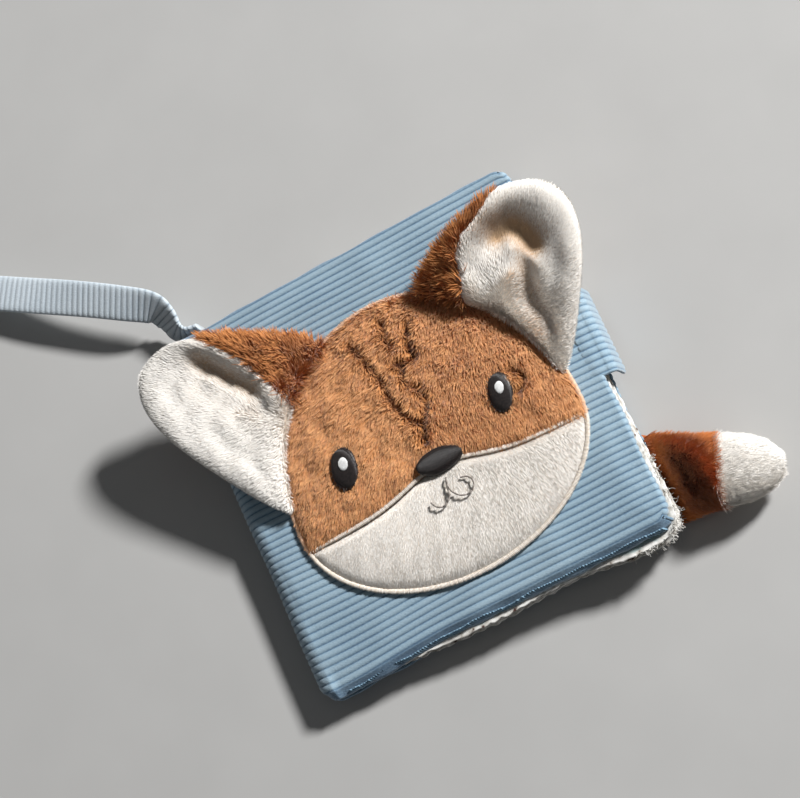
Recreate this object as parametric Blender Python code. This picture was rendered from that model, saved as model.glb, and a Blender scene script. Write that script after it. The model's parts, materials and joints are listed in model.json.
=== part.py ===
"""Crinkle cloth book with a plush fox face, built as separate sewn pieces.

Metres, +Z up. +X runs from the spine to the fore-edge, +Y towards the top of the
face, and the origin is the centre of the back cover's underside. The book lies
closed: a soft wedge, thin at the spine and thick at the fore-edge.
"""

import bpy
import bmesh
from math import acos, cos, exp, hypot, pi, radians, sin, sqrt
from mathutils import Vector

# Cover plan and the stack at the spine
COVER_WIDTH = 0.1575
COVER_HEIGHT = 0.160
COVER_CORNER = 0.011
COVER_RIM = 0.0034
COVER_CROWN = 0.0010
COVER_SLOPE_SHARE = 0.86
CORD_SHEET = 0.0016
LINING_SHEET = 0.0006
BACK_THICKNESS = 0.0042
GAP = 0.0003
LEAF_COUNT = 4
LEAF_PITCH = 0.00185
WEDGE_ANGLE = radians(3.93)

# Hinge lines along the spine
HINGE_OFFSET = 0.0003
HINGE_SINK = 0.0002

# Leaves: two printed pages sewn round a crinkle film
LEAF_SHORTER = 0.0012
LEAF_DROP = 0.0025
LEAF_CORNER = 0.009
LEAF_EDGE_INSET = 0.00055
PAGE_RIM = 0.0005
PAGE_PART = 0.0001
PAGE_SWELL = 0.0007
PAGE_SWELL_SPINE_SHARE = 0.45
PAGE_SWELL_FORE_SHARE = 1.55
FILM_SHEET = 0.0002
FILM_SHARE = 0.86

# Spine panel
SPINE_WALL = 0.0017
SPINE_BULGE = 0.0007
SPINE_LINING = 0.0006
SPINE_LINING_INSET = 0.00015

# Face, in the front cover's own plane, measured from the cover's middle
FACE_X = 0.0020
FACE_Y = -0.0200
FACE_HALF_WIDTH = 0.0628
FACE_UP = 0.0708
FACE_DOWN = 0.0440
FACE_RIM = 0.0020
FACE_CROWN = 0.0062
MUZZLE_LINE_Y = -0.0270
MUZZLE_PEAK = 0.0075
MUZZLE_PEAK_X = 0.0036
MUZZLE_PEAK_SPREAD = 0.0224
STITCH_WIDTH = 0.0020
STITCH_HEIGHT = 0.0016
MUZZLE_STITCH_DIP = 0.0008
EYE_SPACING = 0.0714
EYE_Y = -0.0040
EYE_WIDTH = 0.0112
EYE_HEIGHT = 0.0160
EYE_THICKNESS = 0.0012
HIGHLIGHT_WIDTH = 0.0034
HIGHLIGHT_HEIGHT = 0.0050
HIGHLIGHT_RISE = 0.0024
HIGHLIGHT_THICKNESS = 0.0006
NOSE_WIDTH = 0.0185
NOSE_HEIGHT = 0.0112
NOSE_THICKNESS = 0.0022
NOSE_Y = -0.0180
NOSE_LIFT = 0.0004
MOUTH_THREAD = 0.0011
MOUTH_RADIUS = 0.0050
MOUTH_DROP = 0.0070

# Ears, each sewn to the head's edge along a chord
EAR_FROM_ANGLE = radians(9)
EAR_TO_ANGLE = radians(71)
EAR_REACH_LEFT = 0.0690
EAR_REACH_RIGHT = 0.0625
EAR_LIFT_SLOPE_LEFT = 0.23
EAR_LIFT_SLOPE_RIGHT = 0.30
EAR_ROLL_SLOPE = 0.11
EAR_CUP = 0.0035
EAR_SKIN = 0.0014
EAR_BELLY = 0.0040
EAR_FRONT_SWELL = 0.0032
EAR_SKIN_SWELL = 0.0012
EAR_AXIS_RISE = 0.0032
EAR_CLEARANCE = 0.0012
EAR_DROP_LEFT = 0.0001
EAR_DROP_RIGHT = 0.0010
EAR_LEAN_LEFT = 0.0
EAR_LEAN_RIGHT = 0.10
EAR_FILLING_SHARE = 0.80
EAR_HEM_LIFT = 0.0060
EAR_BASE_SHARE = 0.22
EAR_FULL_REACH = 0.0340

# Tail, sewn into the back cover's fore-edge
TAIL_Y = -0.0615
TAIL_ANGLE = radians(-18.7)
TAIL_ROOT_HALF = 0.0195
TAIL_HALF = 0.0145
TAIL_BODY_LENGTH = 0.0232
TAIL_LENGTH = 0.0482
TAIL_TOP = 0.0225
TAIL_ROOT_TOP = 0.0044
TAIL_ROOT_LOW = 0.0012
TAIL_FLOOR = 0.0002
TAIL_FULL_REACH = 0.0260
TAIL_SKIN = 0.0022
TAIL_PART = 0.0003

# Pram strap, sewn into the top edge at the spine corner
STRAP_LENGTH = 0.175
STRAP_WIDTH = 0.0160
STRAP_THICKNESS = 0.0028
STRAP_CREST = 0.0150
STRAP_ROOT_HEIGHT = 0.0085
STRAP_ROOT_INSET = 0.0105
STRAP_FLOOR = 0.0002
PATCH_SHEET = 0.0008
STRAP_PATCH_LENGTH = 0.0300
STRAP_PATCH_MARGIN = 0.0015
STRAP_PATCH_SPACE = 0.0050

# Closure tab, sewn into the front cover's fore-edge
TAB_Y = 0.0020
TAB_WIDTH = 0.0380
TAB_THICKNESS = 0.0024
TAB_BEND = 0.0030
TAB_LEAD_SHARE = 0.2
TAB_DROP = 0.0160
TAB_PATCH_LENGTH = 0.0110
TAB_PATCH_MARGIN = 0.0040
LOOP_PATCH_LENGTH = 0.0160
LOOP_PATCH_EDGE = 0.0070
LOOP_PATCH_SHEET = 0.0006

# Worked out from the sizes above
COVER_HALF = COVER_WIDTH / 2
HINGE_X = -COVER_HALF - HINGE_OFFSET
STACK_TOP = BACK_THICKNESS + LEAF_COUNT * LEAF_PITCH
BACK_HINGE_Z = BACK_THICKNESS - HINGE_SINK
FRONT_HINGE_Z = STACK_TOP + HINGE_SINK
COVER_MIDDLE = COVER_HALF + HINGE_OFFSET
FRONT_PLANE = COVER_RIM + COVER_CROWN - HINGE_SINK
FACE_BASE = FRONT_PLANE + GAP

# Ear outline as shares of the base chord and of the reach, from the inner end
EAR_EDGE_SHARES = (
    (0.01, 0.13),
    (0.03, 0.30),
    (0.07, 0.50),
    (0.12, 0.70),
    (0.19, 0.86),
    (0.29, 0.96),
    (0.41, 1.00),
    (0.54, 0.97),
    (0.65, 0.88),
    (0.74, 0.75),
    (0.82, 0.58),
    (0.89, 0.40),
    (0.95, 0.23),
    (0.99, 0.10),
)

# Nose outline as shares of half its width and of half its height
NOSE_SHARES = (
    (0.00, -1.00),
    (0.28, -0.90),
    (0.62, -0.42),
    (0.90, 0.10),
    (1.00, 0.48),
    (0.86, 0.84),
    (0.48, 1.00),
    (0.00, 0.94),
)

# Strap route: shares of its length along -X and +Y, and of its crest in height
STRAP_ROUTE_SHARES = (
    (0.000, 0.000, 0.57),
    (0.035, 0.002, 0.58),
    (0.058, 0.022, 0.64),
    (0.066, 0.058, 0.76),
    (0.085, 0.095, 0.92),
    (0.150, 0.140, 1.00),
    (0.245, 0.202, 0.92),
    (0.370, 0.280, 0.68),
    (0.500, 0.362, 0.36),
    (0.610, 0.430, 0.13),
    (0.700, 0.478, 0.11),
    (0.800, 0.515, 0.11),
)
# How far the strap has turned from on edge to flat at each point of its route
STRAP_FLAT_SHARES = (0.0, 0.02, 0.14, 0.34, 0.60, 0.85, 0.96, 1.0, 1.0, 1.0, 1.0, 1.0)

# Rings from a pad's edge to its middle, and how full the pad is there
PAD_RINGS = (
    (1.00, 0.00),
    (0.95, 0.34),
    (0.86, 0.60),
    (0.70, 0.82),
    (0.45, 0.96),
)

# The same for the leaves, the tail, the embroidery and flat sheets
LEAF_RINGS = (
    (1.00, 0.00),
    (0.93, 0.42),
    (0.80, 0.72),
    (0.55, 0.94),
)
TAIL_RINGS = (
    (1.00, 0.00),
    (0.88, 1.00),
    (0.68, 1.00),
    (0.40, 1.00),
)
THREAD_RINGS = (
    (1.00, 0.25),
    (0.80, 0.75),
    (0.45, 1.00),
)
HIGHLIGHT_RINGS = (
    (1.00, 0.40),
    (0.50, 1.00),
)
FLAT_RINGS = (
    (1.00, 0.00),
    (0.50, 1.00),
)

# How square the tail is in section, along its tip and in plan: 2 is an ellipse
TAIL_SECTION_POWER = 2.2
TAIL_TIP_POWER = 2.6
TAIL_PLAN_POWER = 2.4

# Edges sharper than this stay sharp when a piece is shaded smooth
SHARP_ANGLE = radians(50)

COLOURS = {
    "corduroy_blue": ((0.26, 0.44, 0.60), 0.95),
    "wadding_white": ((0.86, 0.86, 0.84), 0.95),
    "lining_cotton": ((0.80, 0.79, 0.76), 0.90),
    "page_cotton": ((0.82, 0.80, 0.75), 0.90),
    "crinkle_film": ((0.88, 0.88, 0.90), 0.30),
    "plush_ginger": ((0.52, 0.24, 0.09), 0.95),
    "plush_rust": ((0.30, 0.09, 0.02), 0.95),
    "plush_cream": ((0.84, 0.78, 0.70), 0.95),
    "thread_peach": ((0.78, 0.52, 0.36), 0.60),
    "thread_cream": ((0.86, 0.80, 0.72), 0.60),
    "thread_dark": ((0.03, 0.02, 0.02), 0.50),
    "thread_white": ((0.90, 0.90, 0.90), 0.50),
    "hook_tape": ((0.30, 0.42, 0.52), 0.70),
    "loop_tape": ((0.34, 0.48, 0.60), 0.90),
}


def material(name):
    """The named finish, made once."""
    found = bpy.data.materials.get(name)
    if found:
        return found
    colour, roughness = COLOURS[name]
    made = bpy.data.materials.new(name)
    made.use_nodes = True
    shader = made.node_tree.nodes["Principled BSDF"]
    shader.inputs["Base Color"].default_value = (*colour, 1)
    shader.inputs["Roughness"].default_value = roughness
    shader.inputs["Metallic"].default_value = 0
    return made


def piece(name, finish, bm, parent):
    """One closed sewn piece from a bmesh, carried by its parent empty."""
    bmesh.ops.recalc_face_normals(bm, faces=bm.faces)
    mesh = bpy.data.meshes.new(name)
    bm.to_mesh(mesh)
    bm.free()
    mesh.shade_smooth()
    mesh.set_sharp_from_angle(angle=SHARP_ANGLE)
    obj = bpy.data.objects.new(name, mesh)
    bpy.context.collection.objects.link(obj)
    obj.data.materials.append(material(finish))
    obj.parent = parent
    return obj


def pivot(name, place, parent=None, turn=0.0):
    """An empty on a hinge line. A positive turn lifts its +X side."""
    obj = bpy.data.objects.new(name, None)
    bpy.context.collection.objects.link(obj)
    obj.parent = parent
    obj.location = place
    obj.rotation_euler = (0, -turn, 0)
    return obj


def smooth(share):
    """A share from 0 to 1, eased at both ends."""
    t = min(1.0, max(0.0, share))
    return t * t * (3 - 2 * t)


def ring_stack(outline, centre, rings):
    """A closed solid from copies of an outline drawn in towards its centre.

    rings run from the middle of the top, out over the edge and back to the middle
    of the underside. Each is a share of the outline and a function of x, y and
    that share, which gives the height. The first and last are single points.
    """
    bm = bmesh.new()
    cx, cy = centre
    loops = []
    for share, height in rings:
        loop = []
        for x, y in outline:
            px, py = cx + (x - cx) * share, cy + (y - cy) * share
            loop.append(bm.verts.new((px, py, height(px, py, share))))
        loops.append(loop)
    count = len(outline)
    for upper, lower in zip(loops, loops[1:]):
        for i in range(count):
            j = (i + 1) % count
            bm.faces.new((upper[i], lower[i], lower[j], upper[j]))
    for loop, (share, height), flip in (
        (loops[0], rings[0], False),
        (loops[-1], rings[-1], True),
    ):
        tip = bm.verts.new((cx, cy, height(cx, cy, 0)))
        for i in range(count):
            j = (i + 1) % count
            face = (tip, loop[j], loop[i]) if flip else (tip, loop[i], loop[j])
            bm.faces.new(face)
    return bm


def pad(outline, centre, top, low, rings=PAD_RINGS):
    """A pad between two height functions, which take x, y and the fullness."""
    fullness = dict(rings)

    def upper(x, y, share):
        return top(x, y, fullness.get(share, 1.0))

    def under(x, y, share):
        return low(x, y, fullness.get(share, 1.0))

    shares = [share for share, full in rings]
    stack = [(share, upper) for share in reversed(shares)]
    stack += [(share, under) for share in shares]
    return ring_stack(outline, centre, stack)


def slab(outline, centre, low, top):
    """A flat sheet between two heights."""
    return pad(outline, centre, lambda x, y, f: top, lambda x, y, f: low, FLAT_RINGS)


def rounded_rectangle(x0, x1, y0, y1, radius, steps=4):
    """A rectangle's outline with quarter-round corners, anticlockwise."""
    points = []
    corners = ((x1, y0, -90), (x1, y1, 0), (x0, y1, 90), (x0, y0, 180))
    for x, y, start in corners:
        cx = x - radius if x == x1 else x + radius
        cy = y - radius if y == y1 else y + radius
        for k in range(steps + 1):
            a = radians(start + 90 * k / steps)
            points.append((cx + radius * cos(a), cy + radius * sin(a)))
    return points


def with_midpoints(outline, parts):
    """The outline with each long side cut into parts."""
    points = []
    longest = max(
        hypot(b[0] - a[0], b[1] - a[1])
        for a, b in zip(outline, outline[1:] + outline[:1])
    )
    for a, b in zip(outline, outline[1:] + outline[:1]):
        points.append(a)
        if hypot(b[0] - a[0], b[1] - a[1]) > longest / 2:
            for k in range(1, parts):
                points.append(
                    (a[0] + (b[0] - a[0]) * k / parts, a[1] + (b[1] - a[1]) * k / parts)
                )
    return points


def strip(path, width, low, top):
    """A sewn strip along a plan path, between two height functions of x and y."""
    bm = bmesh.new()
    rows = []
    last = len(path) - 1
    for i, (x, y) in enumerate(path):
        ax, ay = path[max(0, i - 1)]
        bx, by = path[min(last, i + 1)]
        run = hypot(bx - ax, by - ay)
        nx, ny = -(by - ay) / run * width / 2, (bx - ax) / run * width / 2
        row = [
            (x - nx, y - ny, low(x, y)),
            (x + nx, y + ny, low(x, y)),
            (x + nx, y + ny, (low(x, y) + top(x, y)) / 2),
            (x, y, top(x, y)),
            (x - nx, y - ny, (low(x, y) + top(x, y)) / 2),
        ]
        rows.append([bm.verts.new(p) for p in row])
    for a, b in zip(rows, rows[1:]):
        for i in range(len(a)):
            j = (i + 1) % len(a)
            bm.faces.new((a[i], a[j], b[j], b[i]))
    bm.faces.new(rows[0][::-1])
    bm.faces.new(rows[-1])
    return bm


def ribbon(places, half_width, half_thickness):
    """A flat band along places, each a point, a width direction and a normal."""
    bm = bmesh.new()
    rows = []
    for centre, across, normal in places:
        w, n = across * half_width, normal * half_thickness
        corners = (centre - w - n, centre + w - n, centre + w + n, centre - w + n)
        rows.append([bm.verts.new(p) for p in corners])
    for a, b in zip(rows, rows[1:]):
        for i in range(len(a)):
            j = (i + 1) % len(a)
            bm.faces.new((a[i], a[j], b[j], b[i]))
    bm.faces.new(rows[0][::-1])
    bm.faces.new(rows[-1])
    return bm


def cover_outline(middle_x, share=1.0):
    """A cover's outline in plan, drawn in to a share of its size."""
    half_x, half_y = COVER_WIDTH / 2, COVER_HEIGHT / 2
    outline = rounded_rectangle(-half_x, half_x, -half_y, half_y, COVER_CORNER)
    outline = with_midpoints(outline, 3)
    return [(x * share + middle_x, y * share) for x, y in outline]


def cover(side, parent, middle_x, sheet_z, up):
    """Corduroy tray, wadding and lining of one cover.

    sheet_z is the flat outer plane of the corduroy and up is +1 where that plane
    faces up, so that the lining lies on the other side.
    """
    depth = COVER_RIM + COVER_CROWN if up > 0 else BACK_THICKNESS
    inner_share = 1 - CORD_SHEET / COVER_HALF
    outline = cover_outline(middle_x)
    centre = (middle_x, 0)

    def outer(x, y, share):
        edge = smooth((share - COVER_SLOPE_SHARE) / (1 - COVER_SLOPE_SHARE))
        return sheet_z - up * COVER_CROWN * edge

    def at(distance):
        return lambda x, y, share: sheet_z - up * distance

    slope_mid_share = (1 + COVER_SLOPE_SHARE) / 2
    ceiling_share = inner_share * COVER_SLOPE_SHARE
    ceiling = CORD_SHEET + COVER_CROWN
    stack = [
        (COVER_SLOPE_SHARE, outer),
        (slope_mid_share, outer),
        (1.0, outer),
        (1.0, at(depth)),
        (inner_share, at(depth)),
        (inner_share, at(ceiling)),
        (ceiling_share, at(CORD_SHEET)),
    ]
    bm = ring_stack(outline, centre, stack if up > 0 else stack[::-1])
    corduroy = piece(f"{side}_cover_corduroy", "corduroy_blue", bm, parent)

    inside = cover_outline(middle_x, inner_share - GAP / COVER_HALF)
    low, top = depth, depth - LINING_SHEET
    bounds = sorted((sheet_z - up * low, sheet_z - up * top))
    lining = slab(inside, centre, *bounds)
    piece(f"{side}_cover_lining", "lining_cotton", lining, parent)

    near, far = ceiling + GAP, depth - LINING_SHEET - GAP
    full = CORD_SHEET + GAP

    def wadding_out(x, y, fullness):
        return sheet_z - up * (near + (full - near) * smooth(fullness))

    def wadding_in(x, y, fullness):
        return sheet_z - up * far

    pair = (wadding_out, wadding_in) if up > 0 else (wadding_in, wadding_out)
    rings = ((1.0, 0.0), (COVER_SLOPE_SHARE - GAP / COVER_HALF, 1.0))
    fill = pad(inside, centre, *pair, rings)
    piece(f"{side}_cover_wadding", "wadding_white", fill, parent)
    return corduroy


def recess(host, name, low, high):
    """Cut a box between two corners out of a piece."""
    bm = bmesh.new()
    bmesh.ops.create_cube(bm, size=1)
    size = [b - a for a, b in zip(low, high)]
    middle = [(a + b) / 2 for a, b in zip(low, high)]
    bmesh.ops.scale(bm, vec=size, verts=bm.verts)
    bmesh.ops.translate(bm, vec=middle, verts=bm.verts)
    mesh = bpy.data.meshes.new(name)
    bm.to_mesh(mesh)
    bm.free()
    cutter = bpy.data.objects.new(name, mesh)
    bpy.context.collection.objects.link(cutter)
    cutter.parent = host.parent
    cutter.hide_render = True
    cutter.display_type = "WIRE"
    cut = host.modifiers.new(name, "BOOLEAN")
    cut.operation = "DIFFERENCE"
    cut.solver = "EXACT"
    cut.object = cutter


def back_cover(parent):
    """Back cover with the loop patch that the closure tab grips underneath."""
    corduroy = cover("back", parent, 0.0, 0.0, -1)
    x1 = COVER_HALF - LOOP_PATCH_EDGE
    x0 = x1 - LOOP_PATCH_LENGTH
    y0, y1 = TAB_Y - TAB_WIDTH / 2, TAB_Y + TAB_WIDTH / 2
    recess(
        corduroy,
        "loop_patch_recess",
        (x0 - GAP, y0 - GAP, -CORD_SHEET),
        (x1 + GAP, y1 + GAP, LOOP_PATCH_SHEET + GAP),
    )
    outline = [(x0, y0), (x1, y0), (x1, y1), (x0, y1)]
    centre = ((x0 + x1) / 2, (y0 + y1) / 2)
    patch = slab(outline, centre, 0.0, LOOP_PATCH_SHEET)
    piece("tab_loop_patch", "loop_tape", patch, parent)


def spine_panel(parent):
    """The padded corduroy wall between the covers, its lining and its seam."""
    height = FRONT_HINGE_Z - BACK_HINGE_Z
    inner = -SPINE_LINING_INSET - SPINE_LINING - GAP
    half = COVER_HEIGHT / 2 - COVER_CORNER / 2
    steps = 8
    low, high = GAP, height - GAP
    outer = []
    for k in range(steps + 1):
        a = pi * k / steps
        bulge = SPINE_WALL * sqrt(sin(a)) + SPINE_BULGE * sin(a) + GAP
        outer.append((inner - bulge, low + (high - low) * k / steps))
    section = [(inner, high), (inner, low)] + outer
    bm = bmesh.new()
    rows = [[bm.verts.new((x, y, z)) for x, z in section] for y in (-half, half)]
    for i in range(len(section)):
        j = (i + 1) % len(section)
        bm.faces.new((rows[0][i], rows[0][j], rows[1][j], rows[1][i]))
    bm.faces.new(rows[0][::-1])
    bm.faces.new(rows[1])
    piece("spine_corduroy", "corduroy_blue", bm, parent)

    x0, x1 = -SPINE_LINING_INSET - SPINE_LINING, -SPINE_LINING_INSET
    outline = [(x0, -half), (x1, -half), (x1, half), (x0, half)]
    lining = slab(outline, ((x0 + x1) / 2, 0), GAP, height - GAP)
    piece("spine_lining", "lining_cotton", lining, parent)


def leaf(number, parent):
    """Two printed pages sewn round a sheet of crinkle film, on their hinge."""
    length = COVER_WIDTH - LEAF_SHORTER
    half = (COVER_HEIGHT - LEAF_SHORTER) / 2
    y0, y1 = -half - LEAF_DROP, half - LEAF_DROP
    outline = rounded_rectangle(LEAF_EDGE_INSET, length, y0, y1, LEAF_CORNER, steps=3)
    outline = with_midpoints(outline, 3)
    centre = (length / 2, -LEAF_DROP)

    def swell(x, fullness):
        span = PAGE_SWELL_FORE_SHARE - PAGE_SWELL_SPINE_SHARE
        share = PAGE_SWELL_SPINE_SHARE + span * x / COVER_WIDTH
        return PAGE_SWELL * share * fullness

    def outer(x, y, fullness):
        return PAGE_PART + PAGE_RIM + swell(x, fullness)

    def inner(x, y, fullness):
        return PAGE_PART + swell(x, fullness)

    def outer_low(x, y, fullness):
        return -outer(x, y, fullness)

    def inner_low(x, y, fullness):
        return -inner(x, y, fullness)

    upper = pad(outline, centre, outer, inner, LEAF_RINGS)
    piece(f"leaf_{number}_upper_page", "page_cotton", upper, parent)
    lower = pad(outline, centre, inner_low, outer_low, LEAF_RINGS)
    piece(f"leaf_{number}_lower_page", "page_cotton", lower, parent)
    reach, side = length * FILM_SHARE / 2, half * FILM_SHARE
    x0, x1 = centre[0] - reach, centre[0] + reach
    y0, y1 = centre[1] - side, centre[1] + side
    film = rounded_rectangle(x0, x1, y0, y1, LEAF_CORNER, steps=2)
    sheet = slab(film, centre, -FILM_SHEET / 2, FILM_SHEET / 2)
    piece(f"leaf_{number}_crinkle_film", "crinkle_film", sheet, parent)


def face_point(angle, scale=1.0):
    """A point on the head's edge, in the front cover's own plane."""
    up = FACE_UP if sin(angle) > 0 else FACE_DOWN
    x = COVER_MIDDLE + FACE_X + FACE_HALF_WIDTH * cos(angle) * scale
    return x, FACE_Y + up * sin(angle) * scale


def face_rise(x, y):
    """The height of the face's dome at a point of the front cover's plane."""
    dx = (x - COVER_MIDDLE - FACE_X) / FACE_HALF_WIDTH
    dy = (y - FACE_Y) / (FACE_UP if y > FACE_Y else FACE_DOWN)
    edge = min(1.0, hypot(dx, dy)) ** 4
    return FACE_BASE + FACE_RIM + (FACE_CROWN - FACE_RIM) * (1 - edge)


def muzzle_line(x, offset=0.0):
    """The seam between head and muzzle: nearly level, with a peak at the nose."""
    d = (x - COVER_MIDDLE - MUZZLE_PEAK_X) / MUZZLE_PEAK_SPREAD
    return MUZZLE_LINE_Y + MUZZLE_PEAK * exp(-d * d) + offset


def face_corner_angle(y):
    """How far below level the muzzle line meets the head's edge, as an angle."""
    return acos(sqrt(max(0.0, 1 - ((y - FACE_Y) / FACE_DOWN) ** 2)))


def plush_half(name, finish, angles, offset, parent, centre_y):
    """Head or muzzle: an arc of the head's edge closed by the muzzle line."""
    count = 36
    start, end = angles
    arc = [face_point(start + (end - start) * k / count) for k in range(count + 1)]
    seam_count = 14
    x0, x1 = arc[-1][0], arc[0][0]
    seam = [x0 + (x1 - x0) * k / seam_count for k in range(1, seam_count)]
    outline = arc + [(x, muzzle_line(x, offset)) for x in seam]
    centre = (COVER_MIDDLE + FACE_X, centre_y)

    def top(x, y, fullness):
        return face_rise(x, y) - FACE_RIM * (1 - fullness)

    def low(x, y, fullness):
        return FACE_BASE

    piece(name, finish, pad(outline, centre, top, low), parent)


def face(parent):
    """Head and muzzle plush, their edge stitching and the embroidered features."""
    half_seam = STITCH_WIDTH / 2 + GAP
    drop = face_corner_angle(MUZZLE_LINE_Y + half_seam)
    rise_angle = (-drop, pi + drop)
    head_centre_y = FACE_Y + (FACE_UP + MUZZLE_LINE_Y - FACE_Y) / 2
    plush_half("head_plush", "plush_ginger", rise_angle, half_seam, parent, head_centre_y)
    drop = face_corner_angle(MUZZLE_LINE_Y - half_seam)
    muzzle_centre_y = FACE_Y - FACE_DOWN / 2
    fall_angle = (pi + drop, 2 * pi - drop)
    plush_half(
        "muzzle_plush", "plush_cream", fall_angle, -half_seam, parent, muzzle_centre_y
    )

    edge_scale = 1 + (GAP + STITCH_WIDTH / 2) / FACE_DOWN
    middle_drop = face_corner_angle(MUZZLE_LINE_Y)
    gap_angle = GAP / FACE_HALF_WIDTH

    def base(x, y):
        return FACE_BASE

    def stitch_top(x, y):
        return FACE_BASE + STITCH_HEIGHT

    steps = 40
    head = (gap_angle - middle_drop, pi + middle_drop - gap_angle)
    muzzle = (pi + middle_drop + gap_angle, 2 * pi - middle_drop - gap_angle)
    for name, finish, (start, end) in (
        ("head_edge_stitching", "thread_peach", head),
        ("muzzle_edge_stitching", "thread_cream", muzzle),
    ):
        angles = [start + (end - start) * k / steps for k in range(steps + 1)]
        path = [face_point(angle, edge_scale) for angle in angles]
        piece(name, finish, strip(path, STITCH_WIDTH, base, stitch_top), parent)

    def seam_top(x, y):
        return face_rise(x, y) - MUZZLE_STITCH_DIP

    x0 = face_point(pi + middle_drop)[0]
    x1 = face_point(-middle_drop)[0]
    steps = 24
    xs = [x0 + (x1 - x0) * k / steps for k in range(steps + 1)]
    path = [(x, muzzle_line(x)) for x in xs]
    bm = strip(path, STITCH_WIDTH, base, seam_top)
    piece("muzzle_seam_stitching", "thread_cream", bm, parent)
    embroidery(parent)


def oval(x, y, width, height, count):
    """An ellipse's outline in plan."""
    angles = [2 * pi * k / count for k in range(count)]
    return [(x + width / 2 * cos(a), y + height / 2 * sin(a)) for a in angles]


def embroidery(parent):
    """Eyes with their highlights, nose and mouth, on the plush's surface."""
    middle = COVER_MIDDLE + FACE_X
    for side, sign in (("left", -1), ("right", 1)):
        x = middle + sign * EYE_SPACING / 2
        outline = oval(x, EYE_Y, EYE_WIDTH, EYE_HEIGHT, 20)

        def under(px, py, fullness):
            return face_rise(px, py) + GAP

        def top(px, py, fullness):
            return face_rise(px, py) + GAP + EYE_THICKNESS * fullness

        eye = pad(outline, (x, EYE_Y), top, under, THREAD_RINGS)
        piece(f"{side}_eye", "thread_dark", eye, parent)
        hy = EYE_Y + HIGHLIGHT_RISE
        spot = oval(x, hy, HIGHLIGHT_WIDTH, HIGHLIGHT_HEIGHT, 10)
        base = EYE_THICKNESS + 2 * GAP

        def spot_low(px, py, fullness):
            return face_rise(px, py) + base

        def spot_top(px, py, fullness):
            return face_rise(px, py) + base + HIGHLIGHT_THICKNESS * fullness

        highlight = pad(spot, (x, hy), spot_top, spot_low, HIGHLIGHT_RINGS)
        piece(f"{side}_eye_highlight", "thread_white", highlight, parent)

    nose_x = COVER_MIDDLE + MUZZLE_PEAK_X
    shares = NOSE_SHARES + tuple((-x, y) for x, y in NOSE_SHARES[-2:0:-1])
    outline = [
        (nose_x + x * NOSE_WIDTH / 2, NOSE_Y + y * NOSE_HEIGHT / 2) for x, y in shares
    ]

    def nose_low(px, py, fullness):
        return face_rise(px, py) + NOSE_LIFT

    def nose_top(px, py, fullness):
        return face_rise(px, py) + NOSE_LIFT + NOSE_THICKNESS * fullness

    nose = pad(outline, (nose_x, NOSE_Y), nose_top, nose_low, THREAD_RINGS)
    piece("nose", "thread_dark", nose, parent)

    start_y = NOSE_Y - NOSE_HEIGHT / 2 - GAP - MOUTH_THREAD / 2
    curl_y = start_y - MOUTH_DROP
    gap_x = MOUTH_THREAD / 2 + GAP / 2

    def thread_low(x, y):
        return face_rise(x, y) + GAP

    def thread_top(x, y):
        return face_rise(x, y) + GAP + MOUTH_THREAD

    for side, sign in (("left", -1), ("right", 1)):
        path = [(nose_x + sign * gap_x, start_y)]
        steps = 10
        for k in range(steps + 1):
            a = pi * 1.1 * k / steps
            x = nose_x + sign * (gap_x + MOUTH_RADIUS * (1 - cos(a)))
            path.append((x, curl_y - MOUTH_RADIUS * sin(a)))
        bm = strip(path, MOUTH_THREAD, thread_low, thread_top)
        piece(f"mouth_stitch_{side}", "thread_dark", bm, parent)


def ear_chord(sign):
    """The two ends of an ear's hinge chord, inner end first, and its length."""
    inner, outer = face_point(EAR_TO_ANGLE), face_point(EAR_FROM_ANGLE)
    middle = COVER_MIDDLE + FACE_X
    ends = [(middle + sign * (x - middle), y) for x, y in (inner, outer)]
    return ends[0], ends[1], hypot(outer[0] - inner[0], outer[1] - inner[1])


def ear_outline(sign, reach, lean):
    """An ear's outline: its free edge, then back along the head's edge."""
    (ax, ay), (bx, by), chord = ear_chord(sign)
    tx, ty = (bx - ax) / chord, (by - ay) / chord
    ex, ey = -ty * sign, tx * sign
    outline = []
    for along, out in EAR_EDGE_SHARES:
        t, e = (along + lean * out) * chord, EAR_CLEARANCE + out * reach
        outline.append((ax + t * tx + e * ex, ay + t * ty + e * ey))
    steps = 8
    middle = COVER_MIDDLE + FACE_X
    scale = 1 + (STITCH_WIDTH + 2 * GAP) / FACE_DOWN
    for k in range(steps + 1):
        angle = EAR_FROM_ANGLE + (EAR_TO_ANGLE - EAR_FROM_ANGLE) * k / steps
        x, y = face_point(angle, scale)
        outline.append((middle + sign * (x - middle), y))
    return outline


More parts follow.
